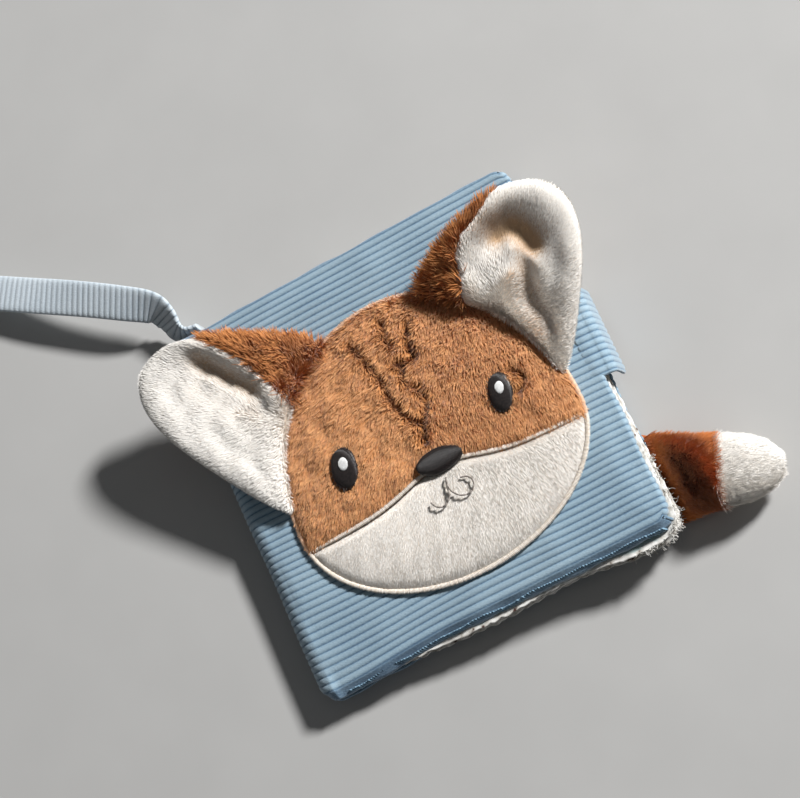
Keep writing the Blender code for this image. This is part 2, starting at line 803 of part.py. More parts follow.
def ear(side, sign, sizes, parent):
    """Rust back, cream front and wadding of one ear, about its hinge chord."""
    reach, slope, lean, drop = sizes
    (ax, ay), (bx, by), chord = ear_chord(sign)
    tx, ty = (bx - ax) / chord, (by - ay) / chord
    ex, ey = -ty * sign, tx * sign
    outline = [(x - ax, y - ay) for x, y in ear_outline(sign, reach, lean)]
    count = len(outline)
    centre = (
        sum(x for x, y in outline) / count,
        sum(y for x, y in outline) / count,
    )

    def full(x, y, fullness):
        out = x * ex + y * ey
        return fullness * min(1.0, EAR_BASE_SHARE + max(0.0, out) / EAR_FULL_REACH)

    def middle(x, y, fullness):
        out = x * ex + y * ey
        along = (x * tx + y * ty) / chord
        roll = EAR_ROLL_SLOPE * (0.5 - along) * out
        hem = EAR_HEM_LIFT * smooth(1 - along * 3) * smooth(2 * out / reach)
        rise = slope * out + roll + hem - drop
        return rise - EAR_CUP * full(x, y, fullness)

    def back_low(x, y, f):
        return middle(x, y, f) - EAR_SKIN - EAR_BELLY * full(x, y, f)

    def back_top(x, y, f):
        hollow = (EAR_BELLY - EAR_SKIN_SWELL) * full(x, y, f)
        return middle(x, y, f) - GAP / 2 - hollow

    def front_low(x, y, f):
        hollow = (EAR_FRONT_SWELL - EAR_SKIN_SWELL) * full(x, y, f)
        return middle(x, y, f) + GAP / 2 + hollow

    def front_top(x, y, f):
        return middle(x, y, f) + EAR_SKIN + EAR_FRONT_SWELL * full(x, y, f)

    if sign < 0:
        outline.reverse()
    back = pad(outline, centre, back_top, back_low)
    piece(f"{side}_ear_back", "plush_rust", back, parent)
    front = pad(outline, centre, front_top, front_low)
    piece(f"{side}_ear_front", "plush_cream", front, parent)

    rings = [(share, full) for share, full in PAD_RINGS if share <= EAR_FILLING_SHARE]
    rings = tuple((share / rings[0][0], full) for share, full in rings)
    cx, cy = centre
    share = next(share for share, full in PAD_RINGS if share <= EAR_FILLING_SHARE)
    inner = [(cx + (x - cx) * share, cy + (y - cy) * share) for x, y in outline]
    filling = pad(
        inner,
        centre,
        lambda x, y, f: front_low(x, y, f) - 2 * GAP,
        lambda x, y, f: back_top(x, y, f) + 2 * GAP,
        rings,
    )
    piece(f"{side}_ear_wadding", "wadding_white", filling, parent)


def tail_frame(along, across):
    """A tail place, from its own directions to the pivot's plan."""
    c, s = cos(TAIL_ANGLE), sin(TAIL_ANGLE)
    return along * c - across * s, along * s + across * c


def tail_half_width(along):
    """Half the tail's width at a distance along it."""
    if along < TAIL_BODY_LENGTH:
        share = smooth(along / TAIL_BODY_LENGTH)
        return TAIL_ROOT_HALF + (TAIL_HALF - TAIL_ROOT_HALF) * share
    reach = (along - TAIL_BODY_LENGTH) / (TAIL_LENGTH - TAIL_BODY_LENGTH)
    return TAIL_HALF * max(0.0, 1 - reach**TAIL_PLAN_POWER) ** (1 / TAIL_PLAN_POWER)


def tail_section(x, y):
    """Height of the tail's middle, and half its thickness, at a plan place."""
    c, s = cos(TAIL_ANGLE), sin(TAIL_ANGLE)
    along, across = x * c + y * s, -x * s + y * c
    width = tail_half_width(max(0.0, along))
    side = min(1.0, abs(across) / width) if width > 0 else 1.0
    round_off = sqrt(max(0.0, 1 - side**TAIL_SECTION_POWER))
    swell = smooth(x / TAIL_FULL_REACH)
    if along > TAIL_BODY_LENGTH:
        reach = (along - TAIL_BODY_LENGTH) / (TAIL_LENGTH - TAIL_BODY_LENGTH)
        round_off *= sqrt(max(0.0, 1 - min(1.0, reach) ** TAIL_TIP_POWER))
    root_half = (TAIL_ROOT_TOP - TAIL_ROOT_LOW) / 2
    full_half = (TAIL_TOP - TAIL_FLOOR) / 2
    half = root_half + (full_half * round_off - root_half) * swell
    root_middle = (TAIL_ROOT_TOP + TAIL_ROOT_LOW) / 2
    middle = root_middle + (TAIL_FLOOR + full_half - root_middle) * swell
    return middle - TAIL_ROOT_TOP, max(root_half, half)


def tail_panels(name, finish, outline, centre, parent):
    """Upper and lower panels of one stretch of the tail."""

    def hollow(x, y):
        middle, half = tail_section(x, y)
        return middle, half, max(TAIL_PART / 2, half - TAIL_SKIN)

    def upper_top(x, y, f):
        middle, half, inner = hollow(x, y)
        return middle + half

    def upper_low(x, y, f):
        middle, half, inner = hollow(x, y)
        return middle + TAIL_PART / 2 + (inner - TAIL_PART / 2) * f

    def lower_top(x, y, f):
        middle, half, inner = hollow(x, y)
        return middle - TAIL_PART / 2 - (inner - TAIL_PART / 2) * f

    def lower_low(x, y, f):
        middle, half, inner = hollow(x, y)
        return middle - half

    upper = pad(outline, centre, upper_top, upper_low, TAIL_RINGS)
    piece(f"{name}_upper", finish, upper, parent)
    lower = pad(outline, centre, lower_top, lower_low, TAIL_RINGS)
    piece(f"{name}_lower", finish, lower, parent)


def tail(parent):
    """Rust body and cream tip, each of two panels, round one stuffing."""
    start = GAP
    side = 6
    across_count = 8
    body_end = TAIL_BODY_LENGTH - TAIL_PART / 2
    tip_start = TAIL_BODY_LENGTH + TAIL_PART / 2
    c, s = cos(TAIL_ANGLE), sin(TAIL_ANGLE)

    def root(across_sign):
        along = (start + across_sign * TAIL_ROOT_HALF * s) / c
        return along, across_sign * TAIL_ROOT_HALF

    low_along, low_across = root(-1)
    high_along, high_across = root(1)
    body = []
    for k in range(side):
        along = low_along + (body_end - low_along) * k / side
        body.append(tail_frame(along, -tail_half_width(max(0.0, along))))
    for k in range(across_count + 1):
        share = 2 * k / across_count - 1
        body.append(tail_frame(body_end, share * TAIL_HALF))
    for k in range(side - 1, -1, -1):
        along = high_along + (body_end - high_along) * k / side
        body.append(tail_frame(along, tail_half_width(max(0.0, along))))
    x_high, y_high = body[-1]
    x_low, y_low = body[0]
    for k in range(1, side):
        body.append((start, y_high + (y_low - y_high) * k / side))
    centre = tail_frame(TAIL_BODY_LENGTH / 2, 0.0)
    tail_panels("tail_body", "plush_rust", body, centre, parent)

    tip = []
    for k in range(across_count + 1):
        tip.append(tail_frame(tip_start, TAIL_HALF * (1 - 2 * k / across_count)))
    round_count = 14
    reach = TAIL_LENGTH - tip_start
    for k in range(1, round_count):
        a = pi * k / round_count - pi / 2
        along = tip_start + reach * cos(a)
        half = tail_half_width(along)
        tip.append(tail_frame(along, half if a > 0 else -half))
    centre = tail_frame((TAIL_BODY_LENGTH + TAIL_LENGTH) / 2, 0.0)
    tail_panels("tail_tip", "plush_cream", tip, centre, parent)


def tangent_frame(points, flats):
    """For each point of the strap: itself, its width direction and its normal."""
    last = len(points) - 1
    places = []
    for i, point in enumerate(points):
        along = (points[min(last, i + 1)] - points[max(0, i - 1)]).normalized()
        level = Vector((0, 0, 1)).cross(along).normalized()
        upright = along.cross(level).normalized()
        turn = flats[i] * pi / 2
        across = (level * sin(turn) + upright * cos(turn)).normalized()
        places.append((point, across, along.cross(across).normalized()))
    return places


def spline(values, steps):
    """A smooth run of values through the given ones."""
    out = []
    last = len(values) - 1
    for i in range(last):
        a, b = values[max(0, i - 1)], values[i]
        c, d = values[i + 1], values[min(last, i + 2)]
        for k in range(steps):
            t = k / steps
            out.append(
                (b * 2 + (c - a) * t + (a * 2 - b * 5 + c * 4 - d) * t * t
                 + (b * 3 - a - c * 3 + d) * t**3) / 2
            )
    out.append(values[last])
    return out


def strap(parent):
    """The strap, on edge at its seam and flat on the ground at its free end."""
    steps = 3
    root = STRAP_ROOT_HEIGHT
    points = [
        Vector((-x * STRAP_LENGTH, y * STRAP_LENGTH, max(z * STRAP_CREST, 0.0) - root))
        for x, y, z in STRAP_ROUTE_SHARES
    ]
    rest = STRAP_FLOOR + STRAP_THICKNESS / 2 - root
    for p in points:
        p.z = max(p.z, rest)
    points = spline(points, steps)
    flats = spline(list(STRAP_FLAT_SHARES), steps)
    for p in points:
        p.z = max(p.z, rest)
    places = tangent_frame(points, flats)
    bm = ribbon(places, STRAP_WIDTH / 2, STRAP_THICKNESS / 2)
    piece("pram_strap", "corduroy_blue", bm, parent)
    patch_half = STRAP_WIDTH / 2 - STRAP_PATCH_MARGIN
    lift = STRAP_THICKNESS / 2 + GAP + PATCH_SHEET / 2

    def patch(name, finish, end, run):
        reach = 0.0
        chosen = []
        for (a, across, normal), (b, *_rest) in zip(places[::-1], places[-2::-1]):
            if end <= reach <= end + run:
                chosen.append((a + normal * lift, across, normal))
            reach += (b - a).length
        piece(name, finish, ribbon(chosen, patch_half, PATCH_SHEET / 2), parent)

    patch("strap_hook_patch", "hook_tape", STRAP_PATCH_MARGIN, STRAP_PATCH_LENGTH)
    second = STRAP_PATCH_LENGTH + STRAP_PATCH_SPACE + STRAP_PATCH_MARGIN
    patch("strap_loop_patch", "loop_tape", second, STRAP_PATCH_LENGTH)


def closure_tab(parent):
    """The tab that hangs over the page edges, with its hook patch inside."""
    steps = 6
    half = TAB_THICKNESS / 2
    places = [Vector((GAP, 0, -half))]
    for k in range(steps + 1):
        a = pi / 2 * (1 - k / steps)
        out, down = TAB_BEND * (TAB_LEAD_SHARE + cos(a)), TAB_BEND * (1 - sin(a))
        places.append(Vector((GAP + out, 0, -half - down)))
    bottom = places[-1]
    places.append(bottom + Vector((0, 0, -TAB_DROP / 2)))
    places.append(bottom + Vector((0, 0, -TAB_DROP)))
    across = Vector((0, 1, 0))
    frames = []
    last = len(places) - 1
    for i, point in enumerate(places):
        along = (places[min(last, i + 1)] - places[max(0, i - 1)]).normalized()
        frames.append((point, across, along.cross(across).normalized()))
    piece("closure_tab", "corduroy_blue", ribbon(frames, TAB_WIDTH / 2, half), parent)

    x = bottom.x - half - GAP - PATCH_SHEET
    low = bottom.z - TAB_DROP + TAB_PATCH_MARGIN / 2
    y = TAB_WIDTH / 2 - TAB_PATCH_MARGIN
    outline = [(x, -y), (x + PATCH_SHEET, -y), (x + PATCH_SHEET, y), (x, y)]
    patch = slab(outline, (x + PATCH_SHEET / 2, 0), low, low + TAB_PATCH_LENGTH)
    piece("tab_hook_patch", "hook_tape", patch, parent)


def build():
    """Clear the file's objects and build the closed book."""
    for obj in list(bpy.data.objects):
        bpy.data.objects.remove(obj, do_unlink=True)

    back = pivot("back_cover_seat", (0, 0, 0))
    back_cover(back)

    spine = pivot("spine_hinge", (HINGE_X, 0, BACK_HINGE_Z))
    spine_panel(spine)
    for k in range(LEAF_COUNT):
        z = BACK_THICKNESS + LEAF_PITCH * (k + 0.5) - BACK_HINGE_Z
        tilt = WEDGE_ANGLE * (k + 1) / (LEAF_COUNT + 1)
        leaf(k + 1, pivot(f"leaf_{k + 1}_hinge", (0, 0, z), spine, tilt))

    rise = FRONT_HINGE_Z - BACK_HINGE_Z
    front = pivot("front_cover_hinge", (0, 0, rise), spine, WEDGE_ANGLE)
    cover("front", front, COVER_MIDDLE, FRONT_PLANE, 1)
    face(front)
    left = (EAR_REACH_LEFT, EAR_LIFT_SLOPE_LEFT, EAR_LEAN_LEFT, EAR_DROP_LEFT)
    right = (EAR_REACH_RIGHT, EAR_LIFT_SLOPE_RIGHT, EAR_LEAN_RIGHT, EAR_DROP_RIGHT)
    for side, sign, sizes in (("left", -1, left), ("right", 1, right)):
        (x, y), _outer, _chord = ear_chord(sign)
        place = (x, y, FRONT_PLANE + EAR_AXIS_RISE)
        ear(side, sign, sizes, pivot(f"{side}_ear_hinge", place, front))

    tab_z = FRONT_PLANE - COVER_CROWN - (COVER_RIM - TAB_THICKNESS) / 2
    closure_tab(pivot("tab_hinge", (COVER_MIDDLE + COVER_HALF, TAB_Y, tab_z), front))
    tail(pivot("tail_hinge", (COVER_HALF, TAIL_Y, TAIL_ROOT_TOP), back))
    root_y = COVER_HEIGHT / 2 + GAP + STRAP_THICKNESS / 2
    root_x = STRAP_ROOT_INSET - COVER_HALF
    strap(pivot("strap_hinge", (root_x, root_y, STRAP_ROOT_HEIGHT), back))


build()
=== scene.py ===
"""Crinkle cloth book in blue corduroy with a plush fox face, dressed over its CAD frame.

Metres. +X runs from the spine to the fore-edge, +Y to the top of the face, +Z up.
"""

import json
import logging
import math
from dataclasses import dataclass, field
from enum import Enum
from typing import Callable, Optional, Sequence

import bmesh
import bpy
import numpy as np
from mathutils import Matrix, Vector
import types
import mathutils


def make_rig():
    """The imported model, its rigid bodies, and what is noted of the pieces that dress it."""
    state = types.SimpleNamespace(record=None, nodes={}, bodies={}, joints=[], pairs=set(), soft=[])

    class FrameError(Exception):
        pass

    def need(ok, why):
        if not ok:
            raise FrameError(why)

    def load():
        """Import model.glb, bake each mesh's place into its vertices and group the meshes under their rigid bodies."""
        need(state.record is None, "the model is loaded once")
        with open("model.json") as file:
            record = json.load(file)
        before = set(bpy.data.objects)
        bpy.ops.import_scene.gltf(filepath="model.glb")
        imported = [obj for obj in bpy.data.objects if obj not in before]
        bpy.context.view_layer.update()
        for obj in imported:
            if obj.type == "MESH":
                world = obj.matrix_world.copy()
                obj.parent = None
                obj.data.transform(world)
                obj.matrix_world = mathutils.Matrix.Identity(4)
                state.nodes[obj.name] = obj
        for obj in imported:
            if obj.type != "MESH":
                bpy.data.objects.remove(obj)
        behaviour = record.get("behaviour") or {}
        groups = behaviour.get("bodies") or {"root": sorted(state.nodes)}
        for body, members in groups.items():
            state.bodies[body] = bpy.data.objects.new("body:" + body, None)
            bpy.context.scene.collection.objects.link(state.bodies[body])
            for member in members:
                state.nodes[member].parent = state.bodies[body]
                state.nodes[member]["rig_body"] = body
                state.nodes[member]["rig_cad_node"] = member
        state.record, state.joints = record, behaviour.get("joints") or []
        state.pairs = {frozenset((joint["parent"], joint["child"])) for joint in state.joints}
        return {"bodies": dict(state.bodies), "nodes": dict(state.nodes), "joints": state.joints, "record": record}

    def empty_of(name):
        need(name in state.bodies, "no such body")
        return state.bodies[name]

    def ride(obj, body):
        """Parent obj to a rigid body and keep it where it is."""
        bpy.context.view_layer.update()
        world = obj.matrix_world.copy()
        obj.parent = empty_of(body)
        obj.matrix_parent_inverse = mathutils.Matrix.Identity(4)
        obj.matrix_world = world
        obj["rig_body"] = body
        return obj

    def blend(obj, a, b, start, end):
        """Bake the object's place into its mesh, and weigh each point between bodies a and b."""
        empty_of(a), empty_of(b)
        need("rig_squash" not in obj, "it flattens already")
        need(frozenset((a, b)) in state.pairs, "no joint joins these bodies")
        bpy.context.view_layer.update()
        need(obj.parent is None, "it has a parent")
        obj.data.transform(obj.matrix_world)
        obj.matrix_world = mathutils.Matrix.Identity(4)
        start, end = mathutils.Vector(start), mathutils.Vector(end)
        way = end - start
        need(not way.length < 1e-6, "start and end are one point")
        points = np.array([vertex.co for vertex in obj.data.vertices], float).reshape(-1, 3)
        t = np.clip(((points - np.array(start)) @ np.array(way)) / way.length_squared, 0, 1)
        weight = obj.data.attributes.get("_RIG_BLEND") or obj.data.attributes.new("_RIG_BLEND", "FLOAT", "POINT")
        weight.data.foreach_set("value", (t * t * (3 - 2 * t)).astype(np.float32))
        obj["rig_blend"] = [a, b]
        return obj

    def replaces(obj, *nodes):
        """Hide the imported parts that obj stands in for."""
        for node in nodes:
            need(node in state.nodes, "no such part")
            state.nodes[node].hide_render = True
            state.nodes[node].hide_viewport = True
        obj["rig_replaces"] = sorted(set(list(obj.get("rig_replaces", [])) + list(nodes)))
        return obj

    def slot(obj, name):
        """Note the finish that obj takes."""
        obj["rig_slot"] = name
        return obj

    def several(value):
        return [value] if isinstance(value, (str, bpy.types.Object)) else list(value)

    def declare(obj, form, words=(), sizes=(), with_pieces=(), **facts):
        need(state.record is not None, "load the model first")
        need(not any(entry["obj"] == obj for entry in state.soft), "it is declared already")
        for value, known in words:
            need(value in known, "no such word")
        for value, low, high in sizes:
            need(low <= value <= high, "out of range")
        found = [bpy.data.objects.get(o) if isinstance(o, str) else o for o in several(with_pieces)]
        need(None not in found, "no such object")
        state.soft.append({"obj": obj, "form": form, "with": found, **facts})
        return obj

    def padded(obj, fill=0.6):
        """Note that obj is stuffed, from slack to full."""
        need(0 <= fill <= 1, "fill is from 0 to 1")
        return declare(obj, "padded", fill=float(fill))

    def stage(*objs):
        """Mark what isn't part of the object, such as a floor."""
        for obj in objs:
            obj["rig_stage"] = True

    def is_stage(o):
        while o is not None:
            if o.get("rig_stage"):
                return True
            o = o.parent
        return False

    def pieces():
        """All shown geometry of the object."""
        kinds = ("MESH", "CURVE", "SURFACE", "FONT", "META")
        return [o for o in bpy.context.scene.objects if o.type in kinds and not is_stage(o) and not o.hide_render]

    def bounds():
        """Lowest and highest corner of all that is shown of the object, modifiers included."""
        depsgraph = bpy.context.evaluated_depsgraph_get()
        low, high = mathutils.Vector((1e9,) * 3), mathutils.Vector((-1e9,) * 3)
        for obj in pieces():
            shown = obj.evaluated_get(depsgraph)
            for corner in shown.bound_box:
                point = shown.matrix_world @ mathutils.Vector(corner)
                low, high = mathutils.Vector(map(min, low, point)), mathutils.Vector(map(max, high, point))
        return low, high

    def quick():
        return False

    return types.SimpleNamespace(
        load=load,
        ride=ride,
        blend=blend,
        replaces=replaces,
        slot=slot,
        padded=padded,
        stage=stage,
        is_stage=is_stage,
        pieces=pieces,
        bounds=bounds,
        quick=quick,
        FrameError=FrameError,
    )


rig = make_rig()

LOG = logging.getLogger("cloth_book")
Array = np.ndarray
HeightRule = Callable[[Array, Array], Array]

GAP = 0.0003


class Body(Enum):
    """The bodies that pieces ride on."""

    BACK = "back_cover"
    SPINE = "spine"
    FRONT = "front_cover"
    LEFT_EAR = "left_ear"
    RIGHT_EAR = "right_ear"
    TAB = "tab"
    TAIL = "tail"
    STRAP = "strap"


# ---------------------------------------------------------------- node helper


def linear(hex_colour: str) -> tuple[float, float, float, float]:
    """Turn an sRGB hex colour into a linear one.

    Args:
        hex_colour: Six hex digits.

    Returns:
        Linear red, green, blue and an alpha of one.
    """
    parts = [int(hex_colour[i : i + 2], 16) / 255 for i in (0, 2, 4)]
    turned = [p / 12.92 if p <= 0.04045 else ((p + 0.055) / 1.055) ** 2.4 for p in parts]
    return (turned[0], turned[1], turned[2], 1.0)


def add_node(
    tree: bpy.types.NodeTree, kind: str, settings: Optional[dict] = None, links: Optional[dict] = None,
) -> bpy.types.Node:
    """Add a node with its settings and its incoming links.

    Args:
        tree: The tree that gets the node.
        kind: The node's type name.
        settings: Properties by their own name, and input values by socket.
        links: Output sockets by the name or number of the input they feed.

    Returns:
        The new node.
    """
    node = tree.nodes.new(kind)
    for key, value in (settings or {}).items():
        if isinstance(key, str) and hasattr(node, key):
            setattr(node, key, value)
        else:
            node.inputs[key].default_value = value
    for key, source in (links or {}).items():
        tree.links.new(source, node.inputs[key])
    return node


def ramp(tree: bpy.types.NodeTree, source: bpy.types.NodeSocket, stops: Sequence) -> bpy.types.NodeSocket:
    """Turn a value into a colour between stops.

    Args:
        tree: The material's tree.
        source: The value's socket.
        stops: Pairs of a place from 0 to 1 and a hex colour.

    Returns:
        The colour's socket.
    """
    node = add_node(tree, "ShaderNodeValToRGB", links={"Fac": source})
    elements = node.color_ramp.elements
    while len(elements) < len(stops):
        elements.new(0.5)
    for element, (place, colour) in zip(elements, stops):
        element.position = place
        element.color = linear(colour)
    return node.outputs["Color"]


@dataclass(frozen=True)
class Finish:
    """A cloth finish: one Principled shader fed by procedural nodes."""

    name: str
    roughness: float = 0.9
    sheen: float = 0.25
    sheen_roughness: float = 0.5

    def start(self) -> tuple[bpy.types.Material, bpy.types.NodeTree, bpy.types.Node, bpy.types.NodeSocket]:
        """Make the empty material.

        Returns:
            The material, its tree, its shader and the Object coordinates.
        """
        made = bpy.data.materials.new(self.name)
        made.use_nodes = True
        tree = made.node_tree
        shader = tree.nodes["Principled BSDF"]
        shader.inputs["Roughness"].default_value = self.roughness
        shader.inputs["Sheen Weight"].default_value = self.sheen
        shader.inputs["Sheen Roughness"].default_value = self.sheen_roughness
        shader.inputs["Specular IOR Level"].default_value = 0.25
        place = add_node(tree, "ShaderNodeTexCoord").outputs["Object"]
        return made, tree, shader, place

    def build(self) -> bpy.types.Material:
        """Make the finish's material."""
        raise NotImplementedError


def noise(
    tree: bpy.types.NodeTree, place: bpy.types.NodeSocket, size: float,
    stretch: tuple[float, float, float] = (1, 1, 1), detail: float = 2.0,
) -> bpy.types.NodeSocket:
    """Add noise whose lumps are about a given size.

    Args:
        tree: The material's tree.
        place: The coordinates' socket.
        size: A lump's size in metres.
        stretch: How much longer a lump is along each axis.
        detail: Octaves of finer noise.

    Returns:
        The noise value's socket.
    """
    scale = tuple(1 / (size * s) for s in stretch)
    mapped = add_node(tree, "ShaderNodeMapping", {"Scale": scale}, {"Vector": place})
    made = add_node(tree, "ShaderNodeTexNoise", {"Scale": 1.0, "Detail": detail}, {"Vector": mapped.outputs[0]})
    return made.outputs["Fac"]


def bump(
    tree: bpy.types.NodeTree, shader: bpy.types.Node, height: bpy.types.NodeSocket, distance: float,
    strength: float = 0.6,
) -> None:
    """Feed a height into the shader's normal.

    Args:
        tree: The material's tree.
        shader: The Principled shader.
        height: The height's socket.
        distance: The relief's depth in metres.
        strength: The bump's strength.
    """
    made = add_node(tree, "ShaderNodeBump", {"Distance": distance, "Strength": strength}, {"Height": height})
    tree.links.new(made.outputs["Normal"], shader.inputs["Normal"])


@dataclass(frozen=True)
class Corduroy(Finish):
    """Wide-wale cotton corduroy: cut pile that scatters light, with painted shade that darkens the grooves between the
    wales.
    """

    ridge: str = "A0B6C3"
    slope: str = "88A2B3"
    painted_groove_shade: str = "54708A"

    def build(self) -> bpy.types.Material:
        """Make the material from the piece's own wale attribute."""
        made, tree, shader, place = self.start()
        wale = add_node(tree, "ShaderNodeAttribute", {"attribute_name": "wale"}).outputs["Fac"]
        fuzz = noise(tree, place, 0.0011, (0.9, 0.5, 1.0), 3.0)
        patch = noise(tree, place, 0.022, (1.8, 1.0, 1.0), 2.5)
        # pile and worn carry the wale value, so they hold the grooves' painted shade, mixed with random fuzz and random
        # nap patches
        pile = add_node(tree, "ShaderNodeMath", {"operation": "MULTIPLY_ADD", 1: 0.85}, {0: fuzz, 2: wale})
        worn = add_node(tree, "ShaderNodeMath", {"operation": "MULTIPLY_ADD", 1: 0.75}, {0: patch, 2: pile.outputs[0]})
        eased = add_node(tree, "ShaderNodeMapRange", {"From Min": 0.85, "From Max": 2.05}, {"Value": worn.outputs[0]})
        # painted shade: low wale values, in the grooves, take the dark groove colour and the raised wales take the
        # light ridge colour
        colour = ramp(tree, eased.outputs[0], ((0.0, self.painted_groove_shade), (0.5, self.slope), (1.0, self.ridge)))
        tree.links.new(colour, shader.inputs["Base Color"])
        fine = noise(tree, place, 0.00045, (1.8, 0.6, 1.0), 2.0)
        bump(tree, shader, fine, 0.0004, 0.5)
        return made


@dataclass(frozen=True)
class Plush(Finish):
    """Brushed plush: each strand is painted darker at its root as painted shade between the strands, painted shade
    darkens the folds named in the deep attribute, and the pile parts into tufts.
    """

    tip: str = "C08A58"
    middle: str = "A86F3E"
    root: str = "5A3016"
    tuft: float = 0.0045
    contrast: float = 0.5
    fold_shade_strength: float = 0.5

    def build(self) -> bpy.types.Material:
        """Make the material from the strands' own UV map."""
        made, tree, shader, place = self.start()
        uv = add_node(tree, "ShaderNodeUVMap", {"uv_map": "UVMap"}).outputs["UV"]
        # painted shade: the colour runs from the dark root colour at the strand's foot to the tip colour, and the skin
        # under the strands takes the darker root end
        along = add_node(tree, "ShaderNodeSeparateXYZ", links={0: uv}).outputs["Y"]
        tufts = noise(tree, place, self.tuft, (1.7, 0.6, 1.0), 2.0)
        single = noise(tree, place, 0.0007, detail=1.0)
        both = add_node(tree, "ShaderNodeMath", {"operation": "MULTIPLY_ADD", 1: 0.6}, {0: single, 2: tufts})
        spread = add_node(
            tree, "ShaderNodeMapRange",
            {"From Min": 0.5, "From Max": 1.1, "To Min": -self.contrast / 2, "To Max": self.contrast / 2},
            {"Value": both.outputs[0]},
        )
        tone = add_node(
            tree, "ShaderNodeMath", {"operation": "MULTIPLY_ADD", 1: 0.62, "use_clamp": True},
            {0: along, 2: spread.outputs[0]},
        )
        # painted shade: the deep attribute darkens the pile towards the root colour in folds and hollows
        deep = add_node(tree, "ShaderNodeAttribute", {"attribute_name": "deep"}).outputs["Fac"]
        lifted = add_node(tree, "ShaderNodeMath", {"operation": "ADD", 1: 0.36}, {0: tone.outputs[0]})
        lifted = add_node(
            tree, "ShaderNodeMath", {"operation": "MULTIPLY_ADD", 1: -self.fold_shade_strength, "use_clamp": True},
            {0: deep, 2: lifted.outputs[0]},
        )
        colour = ramp(tree, lifted.outputs[0], ((0.0, self.root), (0.45, self.middle), (1.0, self.tip)))
        tree.links.new(colour, shader.inputs["Base Color"])
        return made


@dataclass(frozen=True)
class Thread(Finish):
    """Rayon embroidery thread laid side by side, with a soft shine along the stitches."""

    colour: str = "2A2220"
    shade: str = "171211"
    roughness: float = 0.42
    sheen: float = 0.1

    def build(self) -> bpy.types.Material:
        """Make the material, slightly uneven from stitch to stitch."""
        made, tree, shader, place = self.start()
        shader.inputs["Specular IOR Level"].default_value = 0.5
        lay = noise(tree, place, 0.0009, (1.0, 1.0, 1.0), 1.0)
        colour = ramp(tree, lay, ((0.3, self.shade), (0.7, self.colour)))
        tree.links.new(colour, shader.inputs["Base Color"])
        return made


class Motif(Enum):
    """The plain page prints."""

    DOTS = "dots"
    STRIPES = "stripes"
    LEAVES = "leaves"


@dataclass(frozen=True)
class Page(Finish):
    """Printed cotton: a plain weave with a small repeated print inside a plain hem."""

    ground: str = "E9E4DA"
    light: str = "F3EFE7"
    ink: str = "8A4A2C"
    second: str = "3E4A52"
    motif: Motif = Motif.DOTS
    repeat: float = 0.014

    def build(self) -> bpy.types.Material:
        """Make the material from Object coordinates and the page's hem attribute."""
        made, tree, shader, place = self.start()
        flat = add_node(tree, "ShaderNodeMapping", {"Scale": (1 / self.repeat, 1 / self.repeat, 0.0)}, {"Vector": place})
        if self.motif is Motif.STRIPES:
            wave = add_node(
                tree, "ShaderNodeTexWave", {"bands_direction": "DIAGONAL", "Scale": 0.32, "Distortion": 0.6},
                {"Vector": flat.outputs[0]},
            )
            shape = add_node(tree, "ShaderNodeMath", {"operation": "GREATER_THAN", 1: 0.72}, {0: wave.outputs["Fac"]})
            tint = wave.outputs["Color"]
        else:
            squash = (1.0, 1.0, 1.0) if self.motif is Motif.DOTS else (1.0, 0.42, 1.0)
            turned = add_node(
                tree, "ShaderNodeMapping", {"Scale": squash, "Rotation": (0, 0, 0.6)}, {"Vector": flat.outputs[0]}
            )
            cells = add_node(
                tree, "ShaderNodeTexVoronoi", {"Scale": 1.0, "Randomness": 0.55}, {"Vector": turned.outputs[0]}
            )
            limit = 0.20 if self.motif is Motif.DOTS else 0.17
            shape = add_node(tree, "ShaderNodeMath", {"operation": "LESS_THAN", 1: limit}, {0: cells.outputs["Distance"]})
            tint = cells.outputs["Color"]
        pick = add_node(tree, "ShaderNodeSeparateColor", links={0: tint}).outputs["Red"]
        inks = ramp(tree, pick, ((0.45, self.ink), (0.55, self.second)))
        hem = add_node(tree, "ShaderNodeAttribute", {"attribute_name": "hem"}).outputs["Fac"]
        inside = add_node(tree, "ShaderNodeMath", {"operation": "MULTIPLY"}, {0: shape.outputs[0], 1: hem})
        ground = ramp(tree, noise(tree, place, 0.02), ((0.2, self.ground), (0.9, self.light)))
        printed = add_node(
            tree, "ShaderNodeMix", {"data_type": "RGBA"}, {0: inside.outputs[0], 6: ground, 7: inks}
        )
        fray = noise(tree, place, 0.0032, detail=2.0)
        border = ramp(tree, fray, ((0.26, "4A2F28"), (0.34, "B9B4AB"), (0.6, "F1EFEA")))
        mixed = add_node(
            tree, "ShaderNodeMix", {"data_type": "RGBA"}, {0: hem, 6: border, 7: printed.outputs[2]}
        )
        tree.links.new(mixed.outputs[2], shader.inputs["Base Color"])
        weave = noise(tree, place, 0.0006, detail=1.0)
        bump(tree, shader, weave, 0.0001, 0.4)
        return made


@dataclass(frozen=True)
class Plain(Finish):
    """A plain fine cloth or film: two close tones and a fine surface."""

    light: str = "F2F0EA"
    dark: str = "D8D5CC"
    grain: float = 0.0015
    depth: float = 0.0002

    def build(self) -> bpy.types.Material:
        """Make the material from noise at the cloth's own grain."""
        made, tree, shader, place = self.start()
        grain = noise(tree, place, self.grain, detail=3.0)
        colour = ramp(tree, grain, ((0.25, self.dark), (0.75, self.light)))
        tree.links.new(colour, shader.inputs["Base Color"])
        bump(tree, shader, grain, self.depth, 0.5)
        return made


